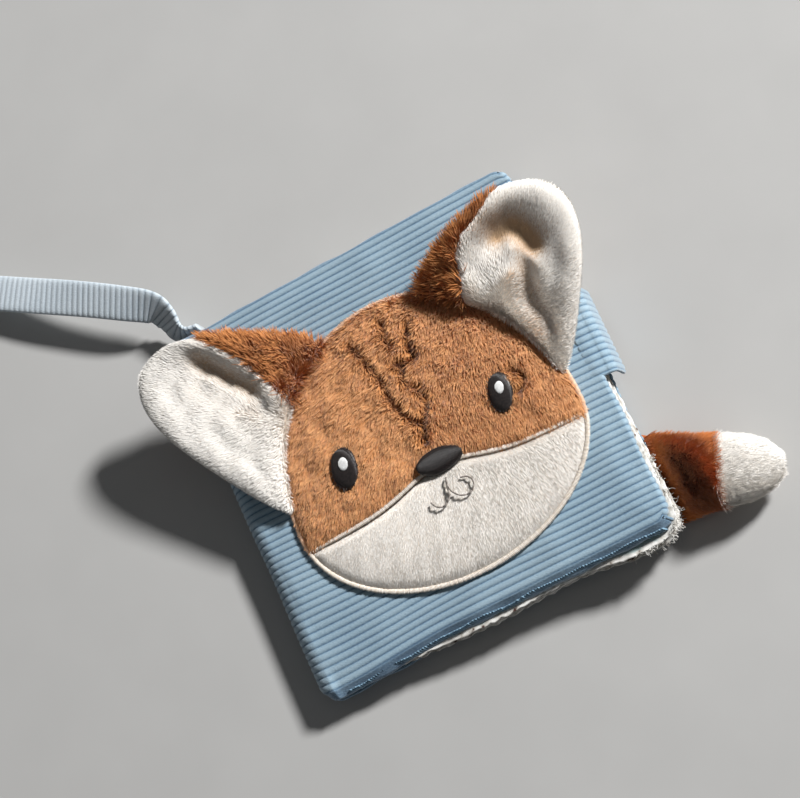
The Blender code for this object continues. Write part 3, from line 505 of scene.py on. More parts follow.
@dataclass
class Finishes:
    """Every material, made once."""

    # the corduroy groove colours and the plush root colours below are painted shade in grooves, at strand roots and in
    # folds
    corduroy: bpy.types.Material = field(default_factory=lambda: Corduroy("cotton_corduroy_blue", sheen=0.5).build())
    strap: bpy.types.Material = field(
        default_factory=lambda: Corduroy(
            "cotton_corduroy_pale", ridge="D3DCE2", slope="B6C2CB", painted_groove_shade="6B7A87", sheen=0.4
        ).build()
    )
    ginger: bpy.types.Material = field(
        default_factory=lambda: Plush(
            "polyester_plush_ginger", tip="EBB27E", middle="CB8950", root="743A18", tuft=0.0028, contrast=0.5, fold_shade_strength=0.95
        ).build()
    )
    amber: bpy.types.Material = field(
        default_factory=lambda: Plush(
            "polyester_plush_amber", tip="D59258", middle="B06A36", root="5E2810", tuft=0.005, contrast=0.7, fold_shade_strength=0.8
        ).build()
    )
    rust: bpy.types.Material = field(
        default_factory=lambda: Plush(
            "polyester_plush_rust", tip="D68345", middle="B25E2A", root="94491F", tuft=0.0035, contrast=0.4
        ).build()
    )
    cream: bpy.types.Material = field(
        default_factory=lambda: Plush(
            "polyester_plush_cream", tip="FDFAF5", middle="F9F2E9", root="DAB893", tuft=0.008, contrast=0.10, fold_shade_strength=0.95
        ).build()
    )
    peach: bpy.types.Material = field(
        default_factory=lambda: Thread("rayon_thread_peach", colour="F3D3B8", shade="DDB08C").build()
    )
    pale: bpy.types.Material = field(
        default_factory=lambda: Thread("rayon_thread_cream", colour="F8F0E6", shade="E4D6C4").build()
    )
    dark: bpy.types.Material = field(default_factory=lambda: Thread("rayon_thread_black").build())
    seam: bpy.types.Material = field(
        default_factory=lambda: Thread("polyester_thread_blue", colour="86A5B8", shade="6A8AA0", roughness=0.7).build()
    )
    mouth: bpy.types.Material = field(
        default_factory=lambda: Thread("rayon_thread_grey", colour="A39A92", shade="6E655E", roughness=0.6).build()
    )
    white: bpy.types.Material = field(
        default_factory=lambda: Thread("rayon_thread_white", colour="F4F4F2", shade="E2E2E0").build()
    )
    lining: bpy.types.Material = field(default_factory=lambda: Plain("cotton_lining", grain=0.0008).build())
    wadding: bpy.types.Material = field(
        default_factory=lambda: Plain("polyester_wadding", grain=0.004, depth=0.001).build()
    )
    film: bpy.types.Material = field(
        default_factory=lambda: Plain("crinkle_film", roughness=0.3, sheen=0.0, grain=0.006, depth=0.001).build()
    )
    hook: bpy.types.Material = field(
        default_factory=lambda: Plain(
            "nylon_hook_tape", light="7F99AC", dark="4E677B", roughness=0.6, grain=0.0009, depth=0.0006
        ).build()
    )
    loop: bpy.types.Material = field(
        default_factory=lambda: Plain("nylon_loop_tape", light="9DB4C4", dark="6A8294", grain=0.0012, depth=0.0006).build()
    )


# ---------------------------------------------------------------- mesh helpers


def add_mesh(
    name: str, points: Array, faces: Sequence[Sequence[int]], material: Optional[bpy.types.Material],
    edges: Sequence[Sequence[int]] = (),
) -> bpy.types.Object:
    """Add a mesh object at the origin.

    Args:
        name: The object's name.
        points: Its vertices, one row each.
        faces: Its faces.
        material: Its finish.
        edges: Loose edges, for a path.

    Returns:
        The new object.
    """
    mesh = bpy.data.meshes.new(name)
    mesh.from_pydata(np.asarray(points, float).tolist(), [list(e) for e in edges], [list(f) for f in faces])
    mesh.update()
    if faces is not None and len(faces):
        mesh.shade_smooth()
    obj = bpy.data.objects.new(name, mesh)
    bpy.context.collection.objects.link(obj)
    if material:
        mesh.materials.append(material)
    return obj


def set_values(obj: bpy.types.Object, name: str, values: Array, domain: str = "POINT") -> None:
    """Store one number for each vertex or face.

    Args:
        obj: The mesh object.
        name: The attribute's name.
        values: One number each.
        domain: POINT or FACE.
    """
    made = obj.data.attributes.new(name, "FLOAT", domain)
    made.data.foreach_set("value", np.asarray(values, np.float32))


def grid_faces(rows: int, columns: int, flip: bool = False) -> Array:
    """Faces of a grid of vertices stored row by row.

    Args:
        rows: The count of rows.
        columns: The count of columns.
        flip: Turn every face over.

    Returns:
        One row of four indices for each face.
    """
    index = np.arange(rows * columns).reshape(rows, columns)
    quad = np.stack([index[:-1, :-1], index[:-1, 1:], index[1:, 1:], index[1:, :-1]], -1).reshape(-1, 4)
    return quad[:, ::-1] if flip else quad


def tube_faces(rows: int, ring: int) -> list[list[int]]:
    """Faces of a closed tube of rings, with a cap at each end.

    Args:
        rows: The count of rings.
        ring: Vertices in one ring.

    Returns:
        The faces.
    """
    faces = []
    for i in range(rows - 1):
        for j in range(ring):
            k = (j + 1) % ring
            faces.append([i * ring + j, i * ring + k, (i + 1) * ring + k, (i + 1) * ring + j])
    faces.append(list(range(ring))[::-1])
    faces.append([(rows - 1) * ring + j for j in range(ring)])
    return faces


def vertex_normals(points: Array, faces: Array) -> Array:
    """Smooth normals of a mesh.

    Args:
        points: The vertices.
        faces: Four indices for each face.

    Returns:
        One unit normal for each vertex.
    """
    a = points[faces[:, 2]] - points[faces[:, 0]]
    b = points[faces[:, 3]] - points[faces[:, 1]]
    cross = np.cross(a, b)
    normals = np.zeros_like(points)
    for k in range(4):
        np.add.at(normals, faces[:, k], cross)
    length = np.linalg.norm(normals, axis=1, keepdims=True)
    return normals / np.where(length > 0, length, 1)


def thicken(points: Array, faces: Array, depth: float) -> tuple[Array, list[list[int]]]:
    """Close an open surface of quads into a shell.

    Args:
        points: The outer vertices.
        faces: The outer faces, facing outwards.
        depth: The shell's thickness, inwards.

    Returns:
        The vertices and faces of the closed shell, outer ones first.
    """
    inner = points - vertex_normals(points, faces) * depth
    count = len(points)
    seen: dict[tuple[int, int], int] = {}
    for face in faces:
        for k in range(4):
            edge = (int(face[k]), int(face[(k + 1) % 4]))
            seen[edge] = seen.get(edge, 0) + 1
    rim = [(a, b) for a, b in seen if (b, a) not in seen and a != b]
    whole = faces.tolist() + (faces[:, ::-1] + count).tolist()
    whole += [[b, a, a + count, b + count] for a, b in rim]
    return np.vstack([points, inner]), whole


def tidy(obj: bpy.types.Object, merge: float = 1e-7) -> bpy.types.Object:
    """Merge doubled vertices, drop flat faces and turn all faces outwards.

    Args:
        obj: The mesh object.
        merge: Vertices closer than this become one.

    Returns:
        The same object.
    """
    bm = bmesh.new()
    bm.from_mesh(obj.data)
    bmesh.ops.remove_doubles(bm, verts=bm.verts, dist=merge)
    bmesh.ops.dissolve_degenerate(bm, edges=bm.edges, dist=merge)
    bmesh.ops.recalc_face_normals(bm, faces=bm.faces)
    bm.to_mesh(obj.data)
    bm.free()
    return obj


def ease(values: Array) -> Array:
    """Ease values from 0 to 1 at both ends."""
    t = np.clip(values, 0, 1)
    return t * t * (3 - 2 * t)


def ripple(x: Array, y: Array, size: float, seed: int) -> Array:
    """A smooth random wave, from about -1 to 1.

    Args:
        x: Places along X.
        y: Places along Y.
        size: The waves' length in metres.
        seed: Picks the wave.

    Returns:
        The wave's height at each place.
    """
    rng = np.random.default_rng(seed)
    total = np.zeros_like(np.asarray(x, float) + np.asarray(y, float))
    for _ in range(6):
        angle, phase = rng.uniform(0, 2 * math.pi, 2)
        length = size * rng.uniform(0.7, 1.6)
        total += np.sin((x * math.cos(angle) + y * math.sin(angle)) * 2 * math.pi / length + phase)
    return total / 3.2


def smooth_path(points: Array, steps: int) -> Array:
    """A Catmull-Rom path through points.

    Args:
        points: The points, one row each.
        steps: Pieces of each span.

    Returns:
        The path's points.
    """
    padded = np.vstack([points[0], points, points[-1]])
    out = []
    for a, b, c, d in zip(padded, padded[1:], padded[2:], padded[3:]):
        for k in range(steps):
            t = k / steps
            out.append(
                (2 * b + (c - a) * t + (2 * a - 5 * b + 4 * c - d) * t**2 + (3 * b - a - 3 * c + d) * t**3) / 2
            )
    out.append(points[-1])
    return np.array(out)


def ring_pad(
    outline: Array, centre: Array, shares: Array, height: HeightRule, under: HeightRule
) -> tuple[Array, Array, int]:
    """A closed pad: rings drawn in from an outline, over and under.

    Args:
        outline: The outline in plan, anticlockwise.
        centre: The plan point that the rings close on.
        shares: Ring sizes from just inside 1 down to the last.
        height: Upper height from plan places.
        under: Lower height from plan places.

    Returns:
        The vertices, the quads, and the count of upper faces.
    """
    count = len(outline)
    rings = [centre + (outline - centre) * s for s in shares]
    top = [np.column_stack([r, height(r[:, 0], r[:, 1])]) for r in rings]
    low = [np.column_stack([r, under(r[:, 0], r[:, 1])]) for r in rings]
    edge = np.column_stack([outline, (height(*outline.T) + under(*outline.T)) / 2])
    points = np.vstack(top[::-1] + [edge] + low)
    rows = 2 * len(rings) + 1
    faces = []
    for i in range(rows - 1):
        for j in range(count):
            k = (j + 1) % count
            faces.append([i * count + j, (i + 1) * count + j, (i + 1) * count + k, i * count + k])
    upper = len(rings) * count
    return points, np.array(faces), upper


def inside_outline(points: Array, outline: Array) -> Array:
    """Which plan points lie inside an outline.

    Args:
        points: Rows of x and y.
        outline: The outline's corners in order.

    Returns:
        True for each point inside.
    """
    inside = np.zeros(len(points), bool)
    for a, b in zip(outline, np.roll(outline, -1, axis=0)):
        crosses = (a[1] > points[:, 1]) != (b[1] > points[:, 1])
        rise = b[1] - a[1] if abs(b[1] - a[1]) > 1e-12 else 1e-12
        inside ^= crosses & (points[:, 0] < a[0] + (points[:, 1] - a[1]) * (b[0] - a[0]) / rise)
    return inside


def path_gap(x: Array, y: Array, path: Array) -> Array:
    """Distance from plan places to a path.

    Args:
        x: Places along X.
        y: Places along Y.
        path: The path's points.

    Returns:
        The shortest distance for each place.
    """
    best = np.full(np.shape(x), 1.0)
    for a, b in zip(path, path[1:]):
        d = b - a
        t = np.clip(((x - a[0]) * d[0] + (y - a[1]) * d[1]) / max(float(d @ d), 1e-12), 0, 1)
        best = np.minimum(best, np.hypot(x - a[0] - t * d[0], y - a[1] - t * d[1]))
    return best


# ---------------------------------------------------------------- node trees


class Trees:
    """The Geometry Nodes trees, each built once."""

    made: dict[str, bpy.types.NodeTree] = {}

    @staticmethod
    def _start(name: str, sockets: Sequence[tuple[str, str]]) -> tuple:
        """Begin a tree with its named inputs.

        Args:
            name: The tree's name.
            sockets: Pairs of an input's name and its socket type.

        Returns:
            The tree, its input node and its output node.
        """
        tree = bpy.data.node_groups.new(name, "GeometryNodeTree")
        tree.interface.new_socket("Geometry", in_out="INPUT", socket_type="NodeSocketGeometry")
        for label, kind in sockets:
            tree.interface.new_socket(label, in_out="INPUT", socket_type=kind)
        tree.interface.new_socket("Geometry", in_out="OUTPUT", socket_type="NodeSocketGeometry")
        return tree, tree.nodes.new("NodeGroupInput"), tree.nodes.new("NodeGroupOutput")

    @classmethod
    def pile(cls) -> bpy.types.NodeTree:
        """A coat of short strands that lie along the surface's comb direction."""
        if "pile" in cls.made:
            return cls.made["pile"]
        number, vector = "NodeSocketFloat", "NodeSocketVector"
        tree, source, sink = cls._start(
            "plush_pile",
            (
                ("Density", number), ("Length", number), ("Width", number), ("Lean", number), ("Mess", number),
                ("Curl", number), ("Clump Size", number), ("Ruffle", number), ("Seed", "NodeSocketInt"),
                ("Material", "NodeSocketMaterial"),
            ),
        )
        out = source.outputs
        where = add_node(tree, "GeometryNodeInputNamedAttribute", {"data_type": "FLOAT", "Name": "pile"})
        dense = add_node(
            tree, "ShaderNodeMath", {"operation": "MULTIPLY"}, {0: out["Density"], 1: where.outputs["Attribute"]}
        )
        scatter = add_node(
            tree, "GeometryNodeDistributePointsOnFaces",
            links={"Mesh": out["Geometry"], "Density": dense.outputs[0], "Seed": out["Seed"]},
        )
        # the blade: a two-wide strip that tapers and bends, with its length in its own UV map
        grid = add_node(
            tree, "GeometryNodeMeshGrid", {"Size X": 1.0, "Size Y": 1.0, "Vertices X": 2, "Vertices Y": 3}
        )
        split = add_node(
            tree, "ShaderNodeSeparateXYZ", links={0: add_node(tree, "GeometryNodeInputPosition").outputs[0]}
        )
        t = add_node(tree, "ShaderNodeMath", {"operation": "ADD", 1: 0.5}, {0: split.outputs["Y"]}).outputs[0]
        t2 = add_node(tree, "ShaderNodeMath", {"operation": "MULTIPLY"}, {0: t, 1: t}).outputs[0]
        taper = add_node(tree, "ShaderNodeMath", {"operation": "MULTIPLY_ADD", 1: 0.80, 2: -1.0}, {0: t2}).outputs[0]
        wide = add_node(tree, "ShaderNodeMath", {"operation": "MULTIPLY"}, {0: split.outputs["X"], 1: taper}).outputs[0]
        wide = add_node(tree, "ShaderNodeMath", {"operation": "MULTIPLY"}, {0: wide, 1: out["Width"]}).outputs[0]
        tall = add_node(tree, "ShaderNodeMath", {"operation": "MULTIPLY"}, {0: t, 1: out["Length"]}).outputs[0]
        bent = add_node(tree, "ShaderNodeMath", {"operation": "MULTIPLY"}, {0: t2, 1: out["Curl"]}).outputs[0]
        bent = add_node(tree, "ShaderNodeMath", {"operation": "MULTIPLY"}, {0: bent, 1: out["Length"]}).outputs[0]
        shape = add_node(tree, "ShaderNodeCombineXYZ", links={"X": wide, "Y": bent, "Z": tall})
        blade = add_node(
            tree, "GeometryNodeSetPosition", links={"Geometry": grid.outputs["Mesh"], "Position": shape.outputs[0]}
        )
        blade = add_node(
            tree, "GeometryNodeStoreNamedAttribute",
            {"data_type": "FLOAT2", "domain": "CORNER", "Name": "UVMap"},
            {"Geometry": blade.outputs[0], "Value": grid.outputs["UV Map"]},
        )
        # the lie: between the surface's normal and its comb direction, gathered into tufts
        comb = add_node(tree, "GeometryNodeInputNamedAttribute", {"data_type": "FLOAT_VECTOR", "Name": "comb"})
        spot = add_node(tree, "GeometryNodeInputPosition").outputs[0]
        inverse = add_node(tree, "ShaderNodeMath", {"operation": "DIVIDE", 0: 1.0}, {1: out["Clump Size"]})
        scaled = add_node(
            tree, "ShaderNodeVectorMath", {"operation": "SCALE"}, {0: spot, "Scale": inverse.outputs[0]}
        )
        cloud = add_node(
            tree, "ShaderNodeTexNoise", {"Scale": 1.0, "Detail": 1.5}, {"Vector": scaled.outputs[0]}
        )
        centred = add_node(
            tree, "ShaderNodeVectorMath", {"operation": "SUBTRACT", 1: (0.5, 0.5, 0.5)}, {0: cloud.outputs["Color"]}
        )
        tufted = add_node(
            tree, "ShaderNodeVectorMath", {"operation": "SCALE", "Scale": 3.4}, {0: centred.outputs[0]}
        )
        stray = add_node(
            tree, "FunctionNodeRandomValue",
            {"data_type": "FLOAT_VECTOR", "Min": (-1.0, -1.0, -1.0), "Max": (1.0, 1.0, 1.0)},
            {"Seed": out["Seed"]},
        )
        both = add_node(
            tree, "ShaderNodeVectorMath", {"operation": "MULTIPLY_ADD", 1: (0.6, 0.6, 0.6)},
            {0: stray.outputs["Value"], 2: tufted.outputs[0]},
        )
        loose = add_node(
            tree, "ShaderNodeVectorMath", {"operation": "SCALE"}, {0: both.outputs[0], "Scale": out["Mess"]}
        )
        lying = add_node(
            tree, "ShaderNodeVectorMath", {"operation": "SCALE"},
            {0: comb.outputs["Attribute"], "Scale": out["Lean"]},
        )
        pushed = add_node(
            tree, "ShaderNodeVectorMath", {"operation": "ADD"}, {0: lying.outputs[0], 1: loose.outputs[0]}
        )
        # what points into the skin or away from it is taken off, so that no strand sinks
        sunk = add_node(
            tree, "ShaderNodeVectorMath", {"operation": "PROJECT"}, {0: pushed.outputs[0], 1: scatter.outputs["Normal"]}
        )
        along = add_node(
            tree, "ShaderNodeVectorMath", {"operation": "SUBTRACT"}, {0: pushed.outputs[0], 1: sunk.outputs[0]}
        )
        aim = add_node(
            tree, "ShaderNodeVectorMath", {"operation": "ADD"}, {0: scatter.outputs["Normal"], 1: along.outputs[0]}
        )
        turn = add_node(
            tree, "FunctionNodeAxesToRotation", {"primary_axis": "Z", "secondary_axis": "Y"},
            {0: aim.outputs[0], 1: scatter.outputs["Normal"]},
        )
        spin = add_node(
            tree, "FunctionNodeRandomValue", {"data_type": "FLOAT", 2: -0.7, 3: 0.7}, {"Seed": out["Seed"]}
        )
        about = add_node(
            tree, "FunctionNodeAxisAngleToRotation", {"Axis": (0.0, 0.0, 1.0)}, {"Angle": spin.outputs[1]}
        )
        final = add_node(
            tree, "FunctionNodeRotateRotation", {"rotation_space": "LOCAL"},
            {"Rotation": turn.outputs[0], "Rotate By": about.outputs[0]},
        )
        size = add_node(
            tree, "FunctionNodeRandomValue", {"data_type": "FLOAT", 2: 0.65, 3: 1.15}, {"Seed": out["Seed"]}
        )
        # strands shade with the skin under them, a little turned by their tuft
        ruffled = add_node(
            tree, "ShaderNodeVectorMath", {"operation": "SCALE"}, {0: loose.outputs[0], "Scale": out["Ruffle"]}
        )
        eased = add_node(
            tree, "ShaderNodeVectorMath", {"operation": "ADD"}, {0: ruffled.outputs[0], 1: scatter.outputs["Normal"]}
        )
        kept = add_node(
            tree, "GeometryNodeStoreNamedAttribute",
            {"data_type": "FLOAT_VECTOR", "domain": "POINT", "Name": "lie"},
            {"Geometry": scatter.outputs["Points"], "Value": eased.outputs[0]},
        )
        planted = add_node(
            tree, "GeometryNodeInstanceOnPoints",
            links={
                "Points": kept.outputs[0], "Instance": blade.outputs[0], "Rotation": final.outputs[0],
                "Scale": size.outputs[1],
            },
        )
        joined = add_node(tree, "GeometryNodeJoinGeometry")
        tree.links.new(planted.outputs[0], joined.inputs[0])
        tree.links.new(out["Geometry"], joined.inputs[0])
        real = add_node(tree, "GeometryNodeRealizeInstances", links={0: joined.outputs[0]})
        lie = add_node(tree, "GeometryNodeInputNamedAttribute", {"data_type": "FLOAT_VECTOR", "Name": "lie"})
        size_of = add_node(tree, "ShaderNodeVectorMath", {"operation": "LENGTH"}, {0: lie.outputs["Attribute"]})
        strand = add_node(
            tree, "ShaderNodeMath", {"operation": "GREATER_THAN", 1: 0.2}, {0: size_of.outputs["Value"]}
        )
        pick = add_node(
            tree, "GeometryNodeSwitch", {"input_type": "VECTOR"},
            {
                "Switch": strand.outputs[0], "False": add_node(tree, "GeometryNodeInputNormal").outputs[0],
                "True": lie.outputs["Attribute"],
            },
        )
        soft = add_node(
            tree, "GeometryNodeSetMeshNormal", {"mode": "FREE", "domain": "POINT"},
            {"Mesh": real.outputs[0], "Custom Normal": pick.outputs[0]},
        )
        dressed = add_node(
            tree, "GeometryNodeSetMaterial", links={"Geometry": soft.outputs[0], "Material": out["Material"]}
        )
        tree.links.new(dressed.outputs[0], sink.inputs[0])
        cls.made["pile"] = tree
        return tree

    @classmethod
    def stitches(cls) -> bpy.types.NodeTree:
        """Satin stitches laid side by side across a path."""
        if "stitches" in cls.made:
            return cls.made["stitches"]
        number, vector = "NodeSocketFloat", "NodeSocketVector"
        tree, source, sink = cls._start(
            "satin_stitches",
            (
                ("Pitch", number), ("Length", number), ("Width", number), ("Height", number), ("Up", vector),
                ("Slant", number), ("Seed", "NodeSocketInt"), ("Material", "NodeSocketMaterial"),
            ),
        )
        out = source.outputs
        curve = add_node(tree, "GeometryNodeMeshToCurve", links={0: out["Geometry"]})
        points = add_node(
            tree, "GeometryNodeCurveToPoints", {"mode": "LENGTH"}, {"Curve": curve.outputs[0], "Length": out["Pitch"]}
        )
        across = add_node(
            tree, "ShaderNodeVectorMath", {"operation": "CROSS_PRODUCT"},
            {0: points.outputs["Tangent"], 1: out["Up"]},
        )
        slant = add_node(
            tree, "ShaderNodeVectorMath", {"operation": "SCALE"}, {0: points.outputs["Tangent"], "Scale": out["Slant"]}
        )
        laid = add_node(tree, "ShaderNodeVectorMath", {"operation": "ADD"}, {0: across.outputs[0], 1: slant.outputs[0]})
        turn = add_node(
            tree, "FunctionNodeAxesToRotation", {"primary_axis": "X", "secondary_axis": "Z"},
            {0: laid.outputs[0], 1: out["Up"]},
        )
        uneven = add_node(
            tree, "FunctionNodeRandomValue", {"data_type": "FLOAT", 2: 0.88, 3: 1.12}, {"Seed": out["Seed"]}
        )
        ball = add_node(tree, "GeometryNodeMeshUVSphere", {"Segments": 6, "Rings": 5, "Radius": 0.5})
        size = add_node(
            tree, "ShaderNodeCombineXYZ", links={"X": out["Length"], "Y": out["Width"], "Z": out["Height"]}
        )
        scaled = add_node(
            tree, "ShaderNodeVectorMath", {"operation": "SCALE"}, {0: size.outputs[0], "Scale": uneven.outputs[1]}
        )
        planted = add_node(
            tree, "GeometryNodeInstanceOnPoints",
            links={
                "Points": points.outputs["Points"], "Instance": ball.outputs[0], "Rotation": turn.outputs[0],
                "Scale": scaled.outputs[0],
            },
        )
        real = add_node(tree, "GeometryNodeRealizeInstances", links={0: planted.outputs[0]})
        smooth = add_node(tree, "GeometryNodeSetShadeSmooth", links={0: real.outputs[0]})
        dressed = add_node(
            tree, "GeometryNodeSetMaterial", links={"Geometry": smooth.outputs[0], "Material": out["Material"]}
        )
        tree.links.new(dressed.outputs[0], sink.inputs[0])
        cls.made["stitches"] = tree
        return tree

    @classmethod
    def threads(cls) -> bpy.types.NodeTree:
        """A round thread along every path of a mesh of edges."""
        if "threads" in cls.made:
            return cls.made["threads"]
        tree, source, sink = cls._start(
            "laid_threads", (("Radius", "NodeSocketFloat"), ("Material", "NodeSocketMaterial"))
        )
        out = source.outputs
        curve = add_node(tree, "GeometryNodeMeshToCurve", links={0: out["Geometry"]})
        circle = add_node(tree, "GeometryNodeCurvePrimitiveCircle", {"Resolution": 5}, {"Radius": out["Radius"]})
        tube = add_node(
            tree, "GeometryNodeCurveToMesh", {"Fill Caps": True},
            {"Curve": curve.outputs[0], "Profile Curve": circle.outputs["Curve"]},
        )
        real = add_node(tree, "GeometryNodeRealizeInstances", links={0: tube.outputs[0]})
        dressed = add_node(
            tree, "GeometryNodeSetMaterial", links={"Geometry": real.outputs[0], "Material": out["Material"]}
        )
        tree.links.new(dressed.outputs[0], sink.inputs[0])
        cls.made["threads"] = tree
        return tree


def grow(obj: bpy.types.Object, tree: bpy.types.NodeTree, values: dict) -> bpy.types.Object:
    """Run a node tree on an object and keep the plain mesh that it makes.

    Args:
        obj: The object that the tree reads.
        tree: The tree.
        values: Its inputs by name.

    Returns:
        The same object with its new mesh.
    """
    modifier = obj.modifiers.new(tree.name, "NODES")
    modifier.node_group = tree
    for item in tree.interface.items_tree:
        if item.in_out == "INPUT" and item.name in values:
            modifier[item.identifier] = values[item.name]
    evaluated = obj.evaluated_get(bpy.context.evaluated_depsgraph_get())
    made = bpy.data.meshes.new_from_object(evaluated)
    old = obj.data
    obj.modifiers.remove(modifier)
    obj.data = made
    made.name = obj.name
    bpy.data.meshes.remove(old)
    return obj


@dataclass(frozen=True)
class Coat:
    """A plush coat's measures."""

    density: float = 4.5e6
    length: float = 0.0032
    width: float = 0.00032
    lean: float = 1.5
    mess: float = 0.7
    curl: float = -0.25
    clump: float = 0.004
    seed: int = 1
    ruffle: float = 0.42

    def grow_on(
        self, obj: bpy.types.Object, outer: int, comb: Array, material: bpy.types.Material,
        bare: Optional[Array] = None,
    ) -> None:
        """Grow the coat on an object's first faces.

        Args:
            obj: The closed skin.
            outer: The count of faces that carry pile.
            comb: One direction for each vertex.
            material: The plush.
            bare: True for each of those faces that stays bare.
        """
        mask = np.zeros(len(obj.data.polygons))
        mask[:outer] = 1.0
        if bare is not None:
            mask[:outer][bare] = 0.0
        set_values(obj, "pile", mask, "FACE")
        made = obj.data.attributes.new("comb", "FLOAT_VECTOR", "POINT")
        made.data.foreach_set("vector", np.asarray(comb, np.float32).ravel())
        thin = 0.4 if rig.quick() else 1.0
        grow(
            obj, Trees.pile(),
            {
                "Density": self.density * thin, "Length": self.length, "Width": self.width / math.sqrt(thin),
                "Lean": self.lean, "Mess": self.mess, "Curl": self.curl, "Clump Size": self.clump,
                "Ruffle": self.ruffle, "Seed": self.seed, "Material": material,
            },
        )


# ---------------------------------------------------------------- the covers


@dataclass
class CoverFrame:
    """The front cover's own plane: x from the cover's middle, y, and height."""

    tilt: float = math.radians(3.93)
    hinge_x: float = -0.07905
    hinge_z: float = 0.0118
    plane: float = 0.0042

    def place(self, points: Array) -> Array:
        """Carry points from the cover's plane to the world.

        Args:
            points: Rows of x, y and height above the outer plane.

        Returns:
            Rows in world metres.
        """
        c, s = math.cos(self.tilt), math.sin(self.tilt)
        x = points[:, 0] - self.hinge_x
        z = points[:, 2] + self.plane
        return np.column_stack([self.hinge_x + x * c - z * s, points[:, 1], self.hinge_z + x * s + z * c])

    def normal(self) -> Vector:
        """The cover's outward normal."""
        return Vector((-math.sin(self.tilt), 0, math.cos(self.tilt)))


